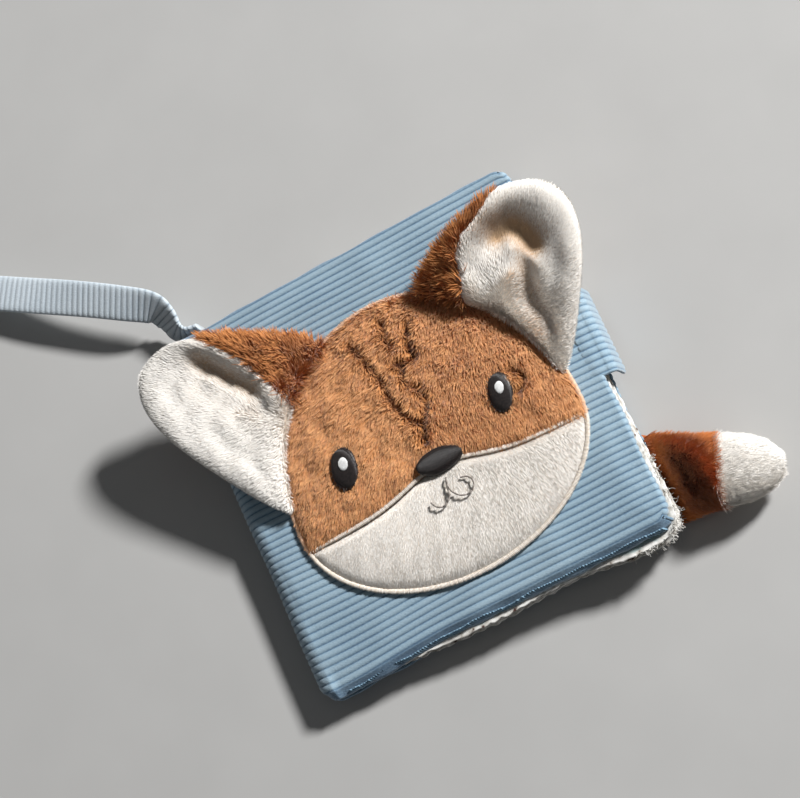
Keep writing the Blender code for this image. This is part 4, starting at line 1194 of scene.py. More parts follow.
@dataclass
class CoverCloth:
    """One cover's corduroy: a shallow tray whose wales run on round the spine."""

    half_x: float = 0.07875
    half_y: float = 0.0800
    corner: float = 0.0072
    fold: float = 0.0017
    depth: float = 0.0044
    pitch: float = 0.00286
    wale: float = 0.00046
    crown: float = 0.0009
    crown_reach: float = 0.012
    cloth: float = 0.0011
    spine_x: float = -0.0836
    spine_z: float = 0.0079
    spine_draw: float = 0.0055
    bag: float = 0.0030
    hang: float = 0.16

    def _columns(self) -> tuple[Array, Array, Array]:
        """Places across the cover, how far over its ends they lie, and the wales' profile."""
        reach = self.half_y - self.fold
        wales = int(round(2 * reach / self.pitch))
        phases = np.array([0.0, 0.10, 0.24, 0.41, 0.59, 0.76, 0.90])
        profile = np.array([0.0, 0.48, 0.84, 1.0, 1.0, 0.84, 0.48])
        flat = ((np.arange(wales)[:, None] + phases) / wales).ravel() * 2 * reach - reach
        flat = np.append(flat, reach)
        ridge = np.append(np.tile(profile, wales), 0.0)
        over = np.array([0.12, 0.3, 0.55, 0.8, 1.0]) * self.depth
        low, high = np.full(len(over), -reach), np.full(len(over), reach)
        places = np.concatenate([low, flat, high])
        depths = np.concatenate([over[::-1], np.zeros(len(flat)), over])
        sides = np.full(len(over), 0.55)
        return places, depths, np.concatenate([sides, ridge, sides])

    def _spread(self, x: Array, y: Array) -> Array:
        """How far the lower edge bags out near the spine, along -Y."""
        return self.bag * ease((-x - 0.020) / 0.055) * ease((-y - 0.030) / 0.050)

    def tray(self, turn: Callable[[Array], Array], seed: int, outer_up: bool) -> tuple[Array, Array, Array]:
        """The cover's outer surface with its folded edges and its spine roll.

        Args:
            turn: Carries rows of x, y and height to the world.
            seed: Picks the cloth's waviness.
            outer_up: True where the outer plane faces up.

        Returns:
            The vertices, the quads and each vertex's wale value.
        """
        places, over, ridge = self._columns()
        reach = self.half_x - self.fold
        wall = np.array([1.0, 0.72, 0.45, 0.26, 0.12]) * self.depth
        flat = np.concatenate(
            [np.linspace(reach, reach - 0.012, 9)[:-1], np.linspace(reach - 0.012, -self.half_x + 0.0032, 50)]
        )
        along = np.concatenate([np.full(len(wall), reach), flat])
        row_over = np.concatenate([wall, np.zeros(len(flat))])
        x0, y0 = np.meshgrid(along, places, indexing="ij")
        hang = np.where(y0 < 0, 1 + self.hang * ease((x0 + 0.080) / 0.02), 1.0)
        deep = np.maximum(row_over[:, None], over[None, :] * hang)
        radius = self.corner - self.fold
        ax = np.clip(x0 - (reach - radius), 0, None)
        ay = np.clip(np.abs(y0) - (self.half_y - self.fold - radius), 0, None)
        bx = ax * np.sqrt(1 - ay**2 / (2 * radius**2))
        by = ay * np.sqrt(1 - ax**2 / (2 * radius**2))
        side = np.sign(y0)
        px, py = x0 - ax + bx, side * (np.abs(y0) - ay + by)
        norm = np.hypot(bx, by)
        mx = np.divide(bx, norm, out=np.zeros_like(bx), where=norm > 0)
        my = np.divide(side * by, norm, out=np.zeros_like(bx), where=norm > 0)
        arc = self.fold * math.pi / 2
        angle = np.minimum(deep, arc) / self.fold
        out = self.fold * np.sin(angle)
        down = self.fold * (1 - np.cos(angle)) + np.maximum(0, deep - arc)
        edge = np.minimum(reach - px, self.half_y - self.fold - np.abs(py))
        drop = self.crown * (1 - ease(edge / self.crown_reach))
        wavy = ripple(px, py, 0.07, seed) * 0.00045 + ripple(px, py, 0.025, seed + 1) * 0.00014
        raised = (ridge * (1 - 0.6 * ease(over / 0.0012)))[None, :] * np.ones_like(px)
        lift = (raised - 1) * self.wale
        hem = ripple(px, py, 0.019, seed + 3) * 0.00055 * ease(deep / self.depth)
        flare = np.where(y0 < 0, 0.0030, 0.0) * ease((over[None, :] - 0.0015) / 0.003)
        h = -down - drop - np.abs(wavy) + lift * np.cos(angle)
        stand = out + lift * np.sin(angle) + hem + flare
        sway = ripple(px, py * 0.4, 0.06, seed + 2) * 0.00032 * ease(edge / 0.01)
        flatx = px + mx * stand
        flaty = py + my * stand + sway - self._spread(px, py)
        sheet = turn(np.column_stack([flatx.ravel(), flaty.ravel(), h.ravel()])).reshape(*x0.shape, 3)

        # the roll round the spine, from the last flat row to the middle of the spine
        middle = len(places) // 2
        start = sheet[-1][middle].copy()
        lead = start - sheet[-2][middle]
        lead /= np.linalg.norm(lead)
        sign = 1.0 if outer_up else -1.0
        end = np.array([self.spine_x, start[1], self.spine_z])
        p1 = start + lead * 0.0046
        p2 = end + np.array([0.0, 0.0, sign * 0.0040])
        rows = []
        steps = 16
        last = sheet[-1]
        bulk = (over == 0).astype(float)
        for k in range(1, steps + 1):
            t = k / steps
            centre = (1 - t) ** 3 * start + 3 * (1 - t) ** 2 * t * p1 + 3 * (1 - t) * t**2 * p2 + t**3 * end
            slope = 3 * (1 - t) ** 2 * (p1 - start) + 6 * (1 - t) * t * (p2 - p1) + 3 * t**2 * (end - p2)
            slope /= np.linalg.norm(slope)
            outward = np.array([slope[2], 0.0, -slope[0]]) * sign
            pull = self.spine_draw * (1 - math.sqrt(1 - (0.98 * t) ** 2))
            d = self.fold * (1 - np.cos(np.minimum(over, arc) / self.fold)) + np.maximum(0, over - arc) * (1 - 0.3 * t)
            raise_by = (raised[-1] - 1) * self.wale
            shift = raise_by - raise_by[middle]
            waver = ripple(np.full(len(places), t * 0.01), places, 0.05, seed + 5) * 0.0003 * t * bulk
            row = np.zeros_like(last)
            row[:, 0] = centre[0] + outward[0] * (shift - d + waver)
            row[:, 2] = centre[2] + outward[2] * (shift - d + waver)
            row[:, 1] = last[:, 1] - np.sign(places) * pull * (np.abs(places) / (self.half_y - self.fold)) ** 6
            rows.append(row)
        points = np.concatenate([sheet, np.array(rows)]).reshape(-1, 3)
        waves = np.concatenate([raised, np.tile(raised[-1], (steps, 1))]).ravel()
        faces = grid_faces(len(along) + steps, len(places), flip=outer_up)
        return points, faces, waves

    def build(self, name: str, turn: Callable, seed: int, outer_up: bool, material: bpy.types.Material) -> bpy.types.Object:
        """Build the cover's corduroy as a closed shell.

        Args:
            name: The piece's name.
            turn: Carries rows of x, y and height to the world.
            seed: Picks the cloth's waviness.
            outer_up: True where the outer plane faces up.
            material: The corduroy.

        Returns:
            The piece.
        """
        points, faces, waves = self.tray(turn, seed, outer_up)
        normals = vertex_normals(points, faces)
        facing = normals[len(points) // 2][2] * (1 if outer_up else -1)
        if facing < 0:
            faces = faces[:, ::-1]
        whole, closed = thicken(points, faces, self.cloth)
        obj = add_mesh(name, whole, closed, material)
        # the wale value shapes the ribs and also sets the corduroy's painted groove shade
        set_values(obj, "wale", np.concatenate([waves, np.full(len(points), 0.4)]))
        return tidy(obj)


@dataclass
class SoftPanel:
    """A sewn panel in plan: rounded corners, a pinched hem and a puffed middle."""

    x0: float
    x1: float
    y0: float
    y1: float
    corner: float = 0.009
    columns: int = 84
    rows: int = 84

    def plan(self) -> tuple[Array, Array, Array]:
        """The panel's grid in plan.

        Returns:
            Grids of x, of y and of the distance to the edge.
        """
        cx, cy = (self.x0 + self.x1) / 2, (self.y0 + self.y1) / 2
        hx, hy = (self.x1 - self.x0) / 2, (self.y1 - self.y0) / 2

        def spaced(half: float, count: int) -> Array:
            fine = np.array([0.0, 0.0004, 0.001, 0.0018, 0.0026, 0.0034, 0.0042, 0.0052])
            inner = np.linspace(-half + 0.0075, half - 0.0075, count)
            return np.concatenate([-half + fine, inner, half - fine[::-1]])

        u, v = np.meshgrid(spaced(hx, self.columns), spaced(hy, self.rows), indexing="ij")
        r = self.corner
        ax, ay = np.clip(np.abs(u) - (hx - r), 0, None), np.clip(np.abs(v) - (hy - r), 0, None)
        bx = ax * np.sqrt(1 - ay**2 / (2 * r**2))
        by = ay * np.sqrt(1 - ax**2 / (2 * r**2))
        x = np.sign(u) * (np.abs(u) - ax + bx)
        y = np.sign(v) * (np.abs(v) - ay + by)
        corner_gap = r - np.hypot(bx, by)
        straight = np.minimum(hx - np.abs(x), hy - np.abs(y))
        edge = np.where((ax > 0) & (ay > 0), corner_gap, straight)
        return x + cx, y + cy, np.clip(edge, 0, None)

    def shell(self, top: Array, low: Array, x: Array, y: Array) -> tuple[Array, list[list[int]]]:
        """Close two height grids over one plan.

        Args:
            top: Upper heights.
            low: Lower heights.
            x: Plan x.
            y: Plan y.

        Returns:
            The vertices and the faces.
        """
        rows, columns = x.shape
        upper = np.column_stack([x.ravel(), y.ravel(), top.ravel()])
        lower = np.column_stack([x.ravel(), y.ravel(), low.ravel()])
        faces = grid_faces(rows, columns, flip=True).tolist()
        count = rows * columns
        faces += (grid_faces(rows, columns) + count).tolist()
        index = np.arange(count).reshape(rows, columns)
        loop = np.concatenate([index[0, :], index[1:, -1], index[-1, -2::-1], index[-2:0:-1, 0]])
        for a, b in zip(loop, np.roll(loop, -1)):
            faces.append([int(a), int(b), int(b) + count, int(a) + count])
        return np.vstack([upper, lower]), faces


# How far the pages stand out past their sewn size, by the distance along each edge
LOWER_EDGE_MM = ((0, 0.0), (17, 0.0), (29, 1.2), (40, 2.2), (57, 2.9), (74, 3.4), (94, 2.2), (110, 1.4), (121, 2.4), (136, 4.6), (146, 4.6), (157, 2.6))
FORE_EDGE_MM = ((-100, 0.0), (10, 0.0), (16, 1.0), (30, 1.7), (45, 2.1), (60, 2.5), (74, 3.2), (82, 2.9), (90, 2.2))


@dataclass
class Leaf:
    """One leaf: two printed pages sewn round crinkle film, on its own hinge line."""

    number: int
    hinge_x: float = -0.07905
    length: float = 0.15630
    start: float = 0.0006
    half_y: float = 0.0794
    drop: float = 0.0025
    edge: float = 0.00055
    swell: float = 0.00075

    def _fray(self, x: Array, y: Array, gap: Array, k: int) -> tuple[Array, Array]:
        """Let the leaf's lower edge and fore-edge stand out and fray.

        Args:
            x: Places from the hinge.
            y: Places along the spine.
            gap: Distance to the leaf's edge.
            k: The leaf's index.

        Returns:
            The moved places.
        """
        share = (0.8, 1.0, 0.75, 0.9)[k]
        lower = np.interp(x, *np.array(LOWER_EDGE_MM).T / 1000) * share
        fore = np.interp(-y, *np.array(FORE_EDGE_MM).T / 1000) * share
        rim = np.exp(-gap / 0.0012)
        lower = lower * ease((-y - 0.052) / 0.029) + ripple(x, y * 0, 0.0045, 100 + k) * 0.0005 * rim * (y < -0.07)
        fore = fore * ease((x - 0.130) / 0.026) + ripple(x * 0, y, 0.0040, 110 + k) * 0.0004 * rim * (x > 0.15)
        return x + fore, y - lower

    def _loose_threads(self, seeds: Array, material: bpy.types.Material) -> None:
        """Pull short threads out of the frayed corner.

        Args:
            seeds: Places on the leaf's worn edge.
            material: The page print, whose hem is the threads' colour.
        """
        rng = np.random.default_rng(130 + self.number)
        verts: list[Array] = []
        for seed in seeds[rng.integers(0, len(seeds), 70)]:
            way = np.array([0.55, -0.75, -0.1]) + rng.normal(0, 0.55, 3)
            steps = rng.normal(0, 0.00028, (5, 3)) + way / np.linalg.norm(way) * rng.uniform(0.0002, 0.0006)
            verts.extend(seed + np.cumsum(steps, axis=0) - steps[0])
        edges = [(i, i + 1) for i in range(len(verts) - 1) if i % 5 < 4]
        path = add_mesh(f"leaf_{self.number}_loose_threads", np.array(verts), [], None, edges)
        grow(path, Trees.threads(), {"Radius": 0.00011, "Material": material})
        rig.ride(path, f"leaf_{self.number}")
        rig.slot(path, "page_cotton")

    def build(self, material: bpy.types.Material) -> bpy.types.Object:
        """Build the leaf with its hem, its puffed middle and its crackled folds.

        Args:
            material: The page print.

        Returns:
            The piece.
        """
        k = self.number - 1
        panel = SoftPanel(self.start, self.length, -self.half_y - self.drop, self.half_y - self.drop)
        x, y, gap = panel.plan()
        share = 0.45 + 1.10 * x / self.length
        puff = ease((gap - 0.0042) / 0.022) * self.swell * share
        pinch = np.exp(-(((gap - 0.0038) / 0.0007) ** 2)) * 0.00028
        folds = np.abs(ripple(x, y, 0.022, 40 + k)) * 0.00022 + np.abs(ripple(x, y, 0.009, 50 + k)) * 0.00010
        folds = folds * ease((gap - 0.003) / 0.01)
        half = self.edge - pinch + puff - folds * share * 0.5
        wave = ripple(x, y, 0.045, 60 + k) * 0.00035 * ease(x / 0.05) * share
        x, y = self._fray(x, y, gap, k)
        corner = ease(1 - np.hypot(x - self.length, y + 0.082) / 0.030)
        wave = wave + ripple(x, y, 0.012, 90 + k) * 0.0011 * corner
        tilt = math.radians(3.93) * (k + 1) / 5
        c, s = math.cos(tilt), math.sin(tilt)
        z0 = 0.0042 + 0.00185 * (k + 0.5)

        points, faces = panel.shell(wave + half, wave - half, x, y)
        world = np.column_stack(
            [self.hinge_x + points[:, 0] * c - points[:, 2] * s, points[:, 1], z0 + points[:, 0] * s + points[:, 2] * c]
        )
        obj = add_mesh(f"leaf_{self.number}_pages", world, faces, material)
        hem = ease((gap - 0.0016 - ripple(x, y, 0.006, 120 + k) * 0.0006) / 0.0008).ravel()
        set_values(obj, "hem", np.concatenate([hem, hem]))
        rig.ride(obj, f"leaf_{self.number}")
        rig.replaces(obj, f"leaf_{self.number}_upper_page", f"leaf_{self.number}_lower_page")
        worn = (gap.ravel() < 0.0006) & (x.ravel() > 0.135) & (y.ravel() < -0.05)
        self._loose_threads(world[: x.size][worn], material)
        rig.slot(obj, "page_cotton")
        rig.padded(obj, fill=0.25)
        return obj


# ---------------------------------------------------------------- the face


@dataclass
class FacePlan:
    """The face's plan in the front cover's plane."""

    x: float = 0.0020
    y: float = -0.0200
    half_width: float = 0.0628
    up: float = 0.0708
    down: float = 0.0440
    rim: float = 0.0018
    crown: float = 0.0056
    line_y: float = -0.0270
    peak: float = 0.0075
    peak_x: float = 0.0036
    peak_spread: float = 0.0224

    def edge(self, angle: Array, grow_by: float = 0.0) -> Array:
        """Points on the head's edge.

        Args:
            angle: Angles about the face's middle.
            grow_by: How far outside the edge, in metres.

        Returns:
            Rows of x and y.
        """
        tall = np.where(np.sin(angle) > 0, self.up, self.down)
        scale = 1 + grow_by / self.down
        return np.column_stack(
            [self.x + self.half_width * np.cos(angle) * scale, self.y + tall * np.sin(angle) * scale]
        )

    def share(self, x: Array, y: Array) -> Array:
        """How far out a point lies: 0 at the middle and 1 at the edge."""
        tall = np.where(y > self.y, self.up, self.down)
        return np.hypot((x - self.x) / self.half_width, (y - self.y) / tall)

    def rise(self, x: Array, y: Array) -> Array:
        """Height of the dome above the cover's outer plane."""
        edge = np.minimum(1.0, self.share(x, y)) ** 4
        return GAP + self.rim + (self.crown - self.rim) * (1 - edge)

    def line(self, x: Array) -> Array:
        """The seam between head and muzzle."""
        return self.line_y + self.peak * np.exp(-(((x - self.peak_x) / self.peak_spread) ** 2))

    def corner_angle(self, y: float) -> float:
        """How far below level the seam meets the head's edge."""
        return math.asin((self.y - y) / self.down)


# Folds in the forehead's pile, each a path in the cover's plane in millimetres
FOREHEAD_FOLDS_MM = (
    ((-9.2, 42.4), (-6.2, 33.6), (-4.2, 27.9), (-2.9, 22.7), (-2.9, 17.7), (-2.3, 12.8), (-0.9, 8.0), (1.7, 2.6), (4.3, -0.9), (3.0, -8.4)),
    ((6.4, 24.3), (5.8, 19.2), (7.4, 14.7), (9.7, 11.7), (10.8, 8.0), (8.2, 2.5), (5.0, -1.3)),
    ((6.6, 44.8), (5.8, 41.1), (5.4, 37.2), (7.4, 33.4)),
    ((15.9, 38.6), (13.8, 34.2), (13.4, 29.4), (13.6, 24.7)),
    ((4.6, 26.6), (9.1, 26.1), (13.7, 25.1)),
    ((46.0, 2.6), (48.8, -1.1), (48.5, -4.5), (45.5, -7.0)),
)


@dataclass
class Face:
    """Head, muzzle, their satin edges and the embroidered features."""

    frame: CoverFrame
    finishes: Finishes
    plan: FacePlan = field(default_factory=FacePlan)
    left_eye: tuple[float, float, float, float] = (-0.0323, -0.0036, 0.0112, 0.0173)
    right_eye: tuple[float, float, float, float] = (0.0394, -0.0052, 0.0098, 0.0163)
    eye_tilt: float = math.radians(-16.0)
    nose: tuple[float, float] = (0.0052, -0.0184)
    nose_width: float = 0.0200
    nose_height: float = 0.0100
    stitch: float = 0.0020

    NOSE_SHARES = (
        (-0.99, 0.34), (-0.70, 0.77), (-0.28, 0.97), (0.14, 1.00), (0.58, 0.73), (0.94, 0.29), (1.00, -0.22),
        (0.70, -0.72), (0.17, -1.00), (-0.38, -0.99), (-0.79, -0.58), (-1.00, -0.10),
    )

    def eye_outline(self, eye: tuple[float, float, float, float], grow_by: float = 1.0) -> Array:
        """An eye's outline in plan.

        Args:
            eye: The eye's middle, its width and its height.
            grow_by: A scale about the middle.

        Returns:
            Rows of x and y.
        """
        a = np.linspace(0, 2 * math.pi, 48, endpoint=False)
        u, v = np.cos(a) * eye[2] / 2 * grow_by, np.sin(a) * eye[3] / 2 * grow_by
        c, s = math.cos(self.eye_tilt), math.sin(self.eye_tilt)
        return np.column_stack([eye[0] + u * c - v * s, eye[1] + u * s + v * c])

    def nose_outline(self, grow_by: float = 1.0) -> Array:
        """The nose's outline in plan."""
        shares = np.array(self.NOSE_SHARES + self.NOSE_SHARES[:1])
        half = np.array([self.nose_width, self.nose_height]) / 2 * grow_by
        return (np.array(self.nose) + smooth_path(shares, 4)[:-1] * half)[::-1]

    def _fold_depth(self, x: Array, y: Array) -> Array:
        """How deep the forehead's folds run at each place, from 0 to 1."""
        depth = np.zeros_like(x)
        for k, fold in enumerate(FOREHEAD_FOLDS_MM):
            path = smooth_path(np.array(fold) / 1000, 8)
            gap = path_gap(x, y, path) + ripple(x, y, 0.006, 80 + k) * 0.0005
            depth = np.maximum(depth, np.exp(-((gap / 0.0019) ** 2)))
        return depth

    def _half(self, name: str, head: bool) -> tuple[Array, Array, Array, Array, int]:
        """One half of the face as a ring pad.

        Args:
            name: Not drawn: it names the half in the log.
            head: True for the head and False for the muzzle.

        Returns:
            World points, faces, comb directions, plan points and upper faces.
        """
        plan = self.plan
        seam_gap = 0.0003
        offset = seam_gap if head else -seam_gap
        drop = plan.corner_angle(plan.line_y + offset)
        span = (-drop, math.pi + drop) if head else (math.pi + drop, 2 * math.pi - drop)
        arc = plan.edge(np.linspace(*span, 120), 0.0007)
        count = 60
        xs = np.linspace(arc[-1][0], arc[0][0], count + 2)[1:-1]
        outline = np.vstack([arc, np.column_stack([xs, plan.line(xs) + offset])])
        centre = np.array([plan.x, plan.y + 0.030]) if head else np.array([plan.x, plan.y - 0.026])
        shares = np.array([0.995, 0.985, 0.97, 0.95, 0.925, 0.90] + list(np.linspace(0.865, 0.02, 30)))
        loop = np.vstack([outline, outline[:1]])

        def top(x: Array, y: Array) -> Array:
            gap = path_gap(x, y, loop)
            soft = np.sqrt(1 - (1 - np.clip(gap / 0.0042, 0, 1)) ** 2)
            body = (plan.rise(x, y) - GAP) * soft
            tufts = ripple(x, y, 0.011, 7 if head else 9) * (0.00035 if head else 0.00018)
            fold = self._fold_depth(x, y) if head else np.zeros_like(x)
            fold = fold * 0.0034 - 0.0020 * np.sqrt(fold) * (1 - fold)
            return GAP + np.maximum(0.0002, body + tufts * soft - fold * soft)

        def low(x: Array, y: Array) -> Array:
            return np.full(x.shape, GAP * 0.5)

        points, faces, upper = ring_pad(outline, centre, shares, top, low)
        count = len(outline)
        rows = len(points) // count
        inner_top = len(points)
        top_row = points[:count].mean(axis=0)
        low_row = points[-count:].mean(axis=0)
        points = np.vstack([points, top_row, low_row])
        caps = []
        for j in range(count):
            k = (j + 1) % count
            caps.append([inner_top, j, k])
            last = (rows - 1) * count
            caps.append([inner_top + 1, last + k, last + j])
        plan_points = points[:, :2].copy()
        away = plan_points - np.array([plan.x, plan.y + (0.012 if head else 0.004)])
        length = np.linalg.norm(away, axis=1, keepdims=True)
        comb = away / np.where(length > 0, length, 1)
        if head:
            comb = comb * 0.35 + np.array([-0.36, -0.72])
        else:
            comb = comb * 0.5 + np.array([-0.25, -0.55])
        turned = np.column_stack([comb, np.zeros(len(comb))])
        world = self.frame.place(points)
        whole = faces.tolist() + caps
        order = whole[:upper] + [caps[i] for i in range(0, len(caps), 2)]
        rest = [f for f in whole[upper : len(faces)]] + [caps[i] for i in range(1, len(caps), 2)]
        LOG.info("%s: %d upper faces", name, len(order))
        return world, order + rest, turned, plan_points, len(order)

    def plush(self) -> None:
        """Build head and muzzle with their coats."""
        coats = {
            "head_plush": (True, self.finishes.ginger, "plush_ginger", Coat(4.9e6, 0.0036, 0.00042, 1.9, 0.66, -0.2, 0.0042, 3, 0.40)),
            "muzzle_plush": (False, self.finishes.cream, "plush_cream", Coat(9.5e6, 0.0015, 0.00026, 4.6, 0.13, -0.15, 0.012, 5, 0.10)),
        }
        features = [self.eye_outline(self.left_eye, 0.86), self.eye_outline(self.right_eye, 0.86), self.nose_outline(0.86)]
        for node, (head, material, slot, coat) in coats.items():
            world, faces, comb, flat, upper = self._half(node, head)
            obj = add_mesh(f"{node}_coat", world, faces, material)
            # painted shade: the forehead's fold depth also darkens the head's pile colour in its folds
            if head:
                set_values(obj, "deep", self._fold_depth(*flat.T))
            mids = np.array([flat[f].mean(axis=0) for f in faces[:upper]])
            bare = np.zeros(upper, bool)
            for outline in features:
                bare |= inside_outline(mids, outline)
            coat.grow_on(obj, upper, comb, material, bare)
            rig.ride(obj, Body.FRONT.value)
            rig.replaces(obj, node)
            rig.slot(obj, slot)
            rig.padded(obj, fill=0.5)

    def _path(self, name: str, plan_points: Array, lift: float) -> bpy.types.Object:
        """A path of edges at a height over the plan.

        Args:
            name: The object's name.
            plan_points: Rows of x and y.
            lift: Height over the cover's plane, or over the dome where negative.

        Returns:
            The path object.
        """
        x, y = plan_points.T
        h = np.full(x.shape, lift) if lift > 0 else self.plan.rise(x, y) + lift
        world = self.frame.place(np.column_stack([x, y, h]))
        edges = [(i, i + 1) for i in range(len(world) - 1)]
        return add_mesh(name, world, [], None, edges)

    def edging(self) -> None:
        """Lay the satin stitches round head and muzzle and along their seam."""
        plan = self.plan
        drop = plan.corner_angle(plan.line_y)
        out = GAP + self.stitch / 2
        up = self.frame.normal()
        spans = {
            "head_edge_stitching": ((-drop, math.pi + drop), self.finishes.peach, "thread_peach"),
            "muzzle_edge_stitching": ((math.pi + drop, 2 * math.pi - drop), self.finishes.pale, "thread_cream"),
        }
        for node, (span, material, slot) in spans.items():
            path = self._path(f"{node}_satin", plan.edge(np.linspace(*span, 240), out), 0.0008)
            self._satin(path, node, up, material, slot, 0.0026, 0.0016)
        xs = np.linspace(plan.edge(np.array([math.pi + drop]))[0][0], plan.edge(np.array([-drop]))[0][0], 160)
        seam = self._path("muzzle_seam_satin", np.column_stack([xs, plan.line(xs)]), -0.0008)
        self._satin(seam, "muzzle_seam_stitching", up, self.finishes.pale, "thread_cream", 0.0022, 0.0015)

    def _satin(
        self, path: bpy.types.Object, node: str, up: Vector, material: bpy.types.Material, slot: str,
        length: float, height: float,
    ) -> None:
        """Args:
            path: The path object.
            node: The CAD node that it stands for.
            up: The surface's normal.
            material: The thread.
            slot: The record's slot.
            length: A stitch's length.
            height: A stitch's height.
        """
        grow(
            path, Trees.stitches(),
            {
                "Pitch": 0.00052, "Length": length, "Width": 0.00068, "Height": height, "Up": up, "Slant": 0.12,
                "Seed": 4, "Material": material,
            },
        )
        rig.ride(path, Body.FRONT.value)
        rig.replaces(path, node)
        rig.slot(path, slot)

    def _patch(
        self, name: str, outline: Array, lift: float, dome: float, pitch: float, radius: float, slant: float,
        material: bpy.types.Material, node: str, slot: str,
    ) -> None:
        """A satin-stitched patch: a padded base under threads laid side by side.

        Args:
            name: The piece's name.
            outline: The patch's outline in plan.
            lift: Height over the plush.
            dome: How far the patch's middle stands up.
            pitch: Distance from thread to thread.
            radius: A thread's radius.
            slant: The threads' angle from X.
            material: The thread.
            node: The CAD node that it stands for.
            slot: The record's slot.
        """
        centre = outline.mean(axis=0)

        def base(x: Array, y: Array) -> Array:
            return self.plan.rise(x, y) + lift

        def inside(x: Array, y: Array) -> Array:
            angle = np.arctan2(y - centre[1], x - centre[0])
            around = np.arctan2(outline[:, 1] - centre[1], outline[:, 0] - centre[0])
            reach = np.hypot(*(outline - centre).T)
            order = np.argsort(around)
            limit = np.interp(angle, around[order], reach[order], period=2 * math.pi)
            return np.clip(np.hypot(x - centre[0], y - centre[1]) / limit, 0, 1)

        def top(x: Array, y: Array) -> Array:
            return base(x, y) + 0.0002 + dome * np.sqrt(1 - inside(x, y) ** 2)

        shares = np.array([0.98, 0.93, 0.85, 0.72, 0.55, 0.36, 0.15])
        points, faces, _ = ring_pad(outline, centre, shares, top, lambda x, y: base(x, y) - 0.0016)
        count = len(outline)
        rows = len(points) // count
        closed = faces.tolist() + [list(range(count)), [(rows - 1) * count + j for j in range(count)][::-1]]
        pad = tidy(add_mesh(name, self.frame.place(points), closed, material))
        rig.ride(pad, Body.FRONT.value)
        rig.replaces(pad, node)
        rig.slot(pad, slot)

        c, s = math.cos(slant), math.sin(slant)
        local = outline - centre
        u, v = local[:, 0] * c + local[:, 1] * s, -local[:, 0] * s + local[:, 1] * c
        verts, edges = [], []
        rng = np.random.default_rng(len(name))
        for level in np.arange(v.min() + pitch / 2, v.max(), pitch):
            crossing = []
            for i in range(count):
                a, b = (u[i], v[i]), (u[(i + 1) % count], v[(i + 1) % count])
                if (a[1] - level) * (b[1] - level) < 0:
                    crossing.append(a[0] + (b[0] - a[0]) * (level - a[1]) / (b[1] - a[1]))
            if len(crossing) < 2:
                continue
            low, high = min(crossing) - rng.uniform(0, 0.0003), max(crossing) + rng.uniform(0, 0.0003)
            us = np.linspace(low, high, 9)
            x, y = centre[0] + us * c - level * s, centre[1] + us * s + level * c
            h = top(x, y) + radius * 0.3
            h[0] -= 0.0010
            h[-1] -= 0.0010
            first = len(verts)
            verts.extend(np.column_stack([x, y, h]).tolist())
            edges.extend((first + i, first + i + 1) for i in range(8))
        path = add_mesh(f"{name}_threads", self.frame.place(np.array(verts)), [], None, edges)
        grow(path, Trees.threads(), {"Radius": radius, "Material": material})
        path.data.shade_smooth()
        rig.ride(path, Body.FRONT.value)
        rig.slot(path, slot)

    def features(self) -> None:
        """Embroider the eyes, the highlights, the nose and the mouth."""
        for side, eye in (("left", self.left_eye), ("right", self.right_eye)):
            centre = np.array(eye[:2])
            outline = self.eye_outline(eye)
            self._patch(
                f"{side}_eye_satin", outline, 0.0013, 0.0012, 0.00040, 0.00024, 0.75,
                self.finishes.dark, f"{side}_eye", "thread_dark",
            )
            glint = self.eye_outline((eye[0] + 0.0007, eye[1] + 0.0016, eye[2] * 0.36, eye[3] * 0.33))[::2]
            self._patch(
                f"{side}_eye_highlight_satin", glint, 0.0026, 0.0004, 0.0004, 0.00022, 1.2,
                self.finishes.white, f"{side}_eye_highlight", "thread_white",
            )
            self._lashes(f"{side}_eye_lashes", outline, centre)
        self._patch(
            "nose_satin", self.nose_outline(), 0.0014, 0.0014, 0.00042, 0.00024, math.pi / 2,
            self.finishes.dark, "nose", "thread_dark",
        )
        self._mouth()

    def _lashes(self, name: str, outline: Array, centre: Array) -> None:
        """Short loose threads that stand off an eye's edge.

        Args:
            name: The piece's name.
            outline: The eye's outline in plan.
            centre: The eye's middle in plan.
        """
        rng = np.random.default_rng(len(name) + 5)
        verts, edges = [], []
        for point in outline[::2]:
            away = (point - centre) / np.linalg.norm(point - centre)
            aim = away + rng.uniform(-0.5, 0.5, 2)
            for k, share in enumerate((0.0, 0.5, 1.0)):
                p = point - away * 0.0006 + aim * rng.uniform(0.0010, 0.0016) * share
                h = float(self.plan.rise(p[:1], p[1:])[0]) + 0.0018 + 0.0004 * share
                verts.append((p[0], p[1], h))
                if k:
                    edges.append((len(verts) - 2, len(verts) - 1))
        path = add_mesh(name, self.frame.place(np.array(verts)), [], None, edges)
        grow(path, Trees.threads(), {"Radius": 0.00013, "Material": self.finishes.dark})
        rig.ride(path, Body.FRONT.value)
        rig.slot(path, "thread_dark")

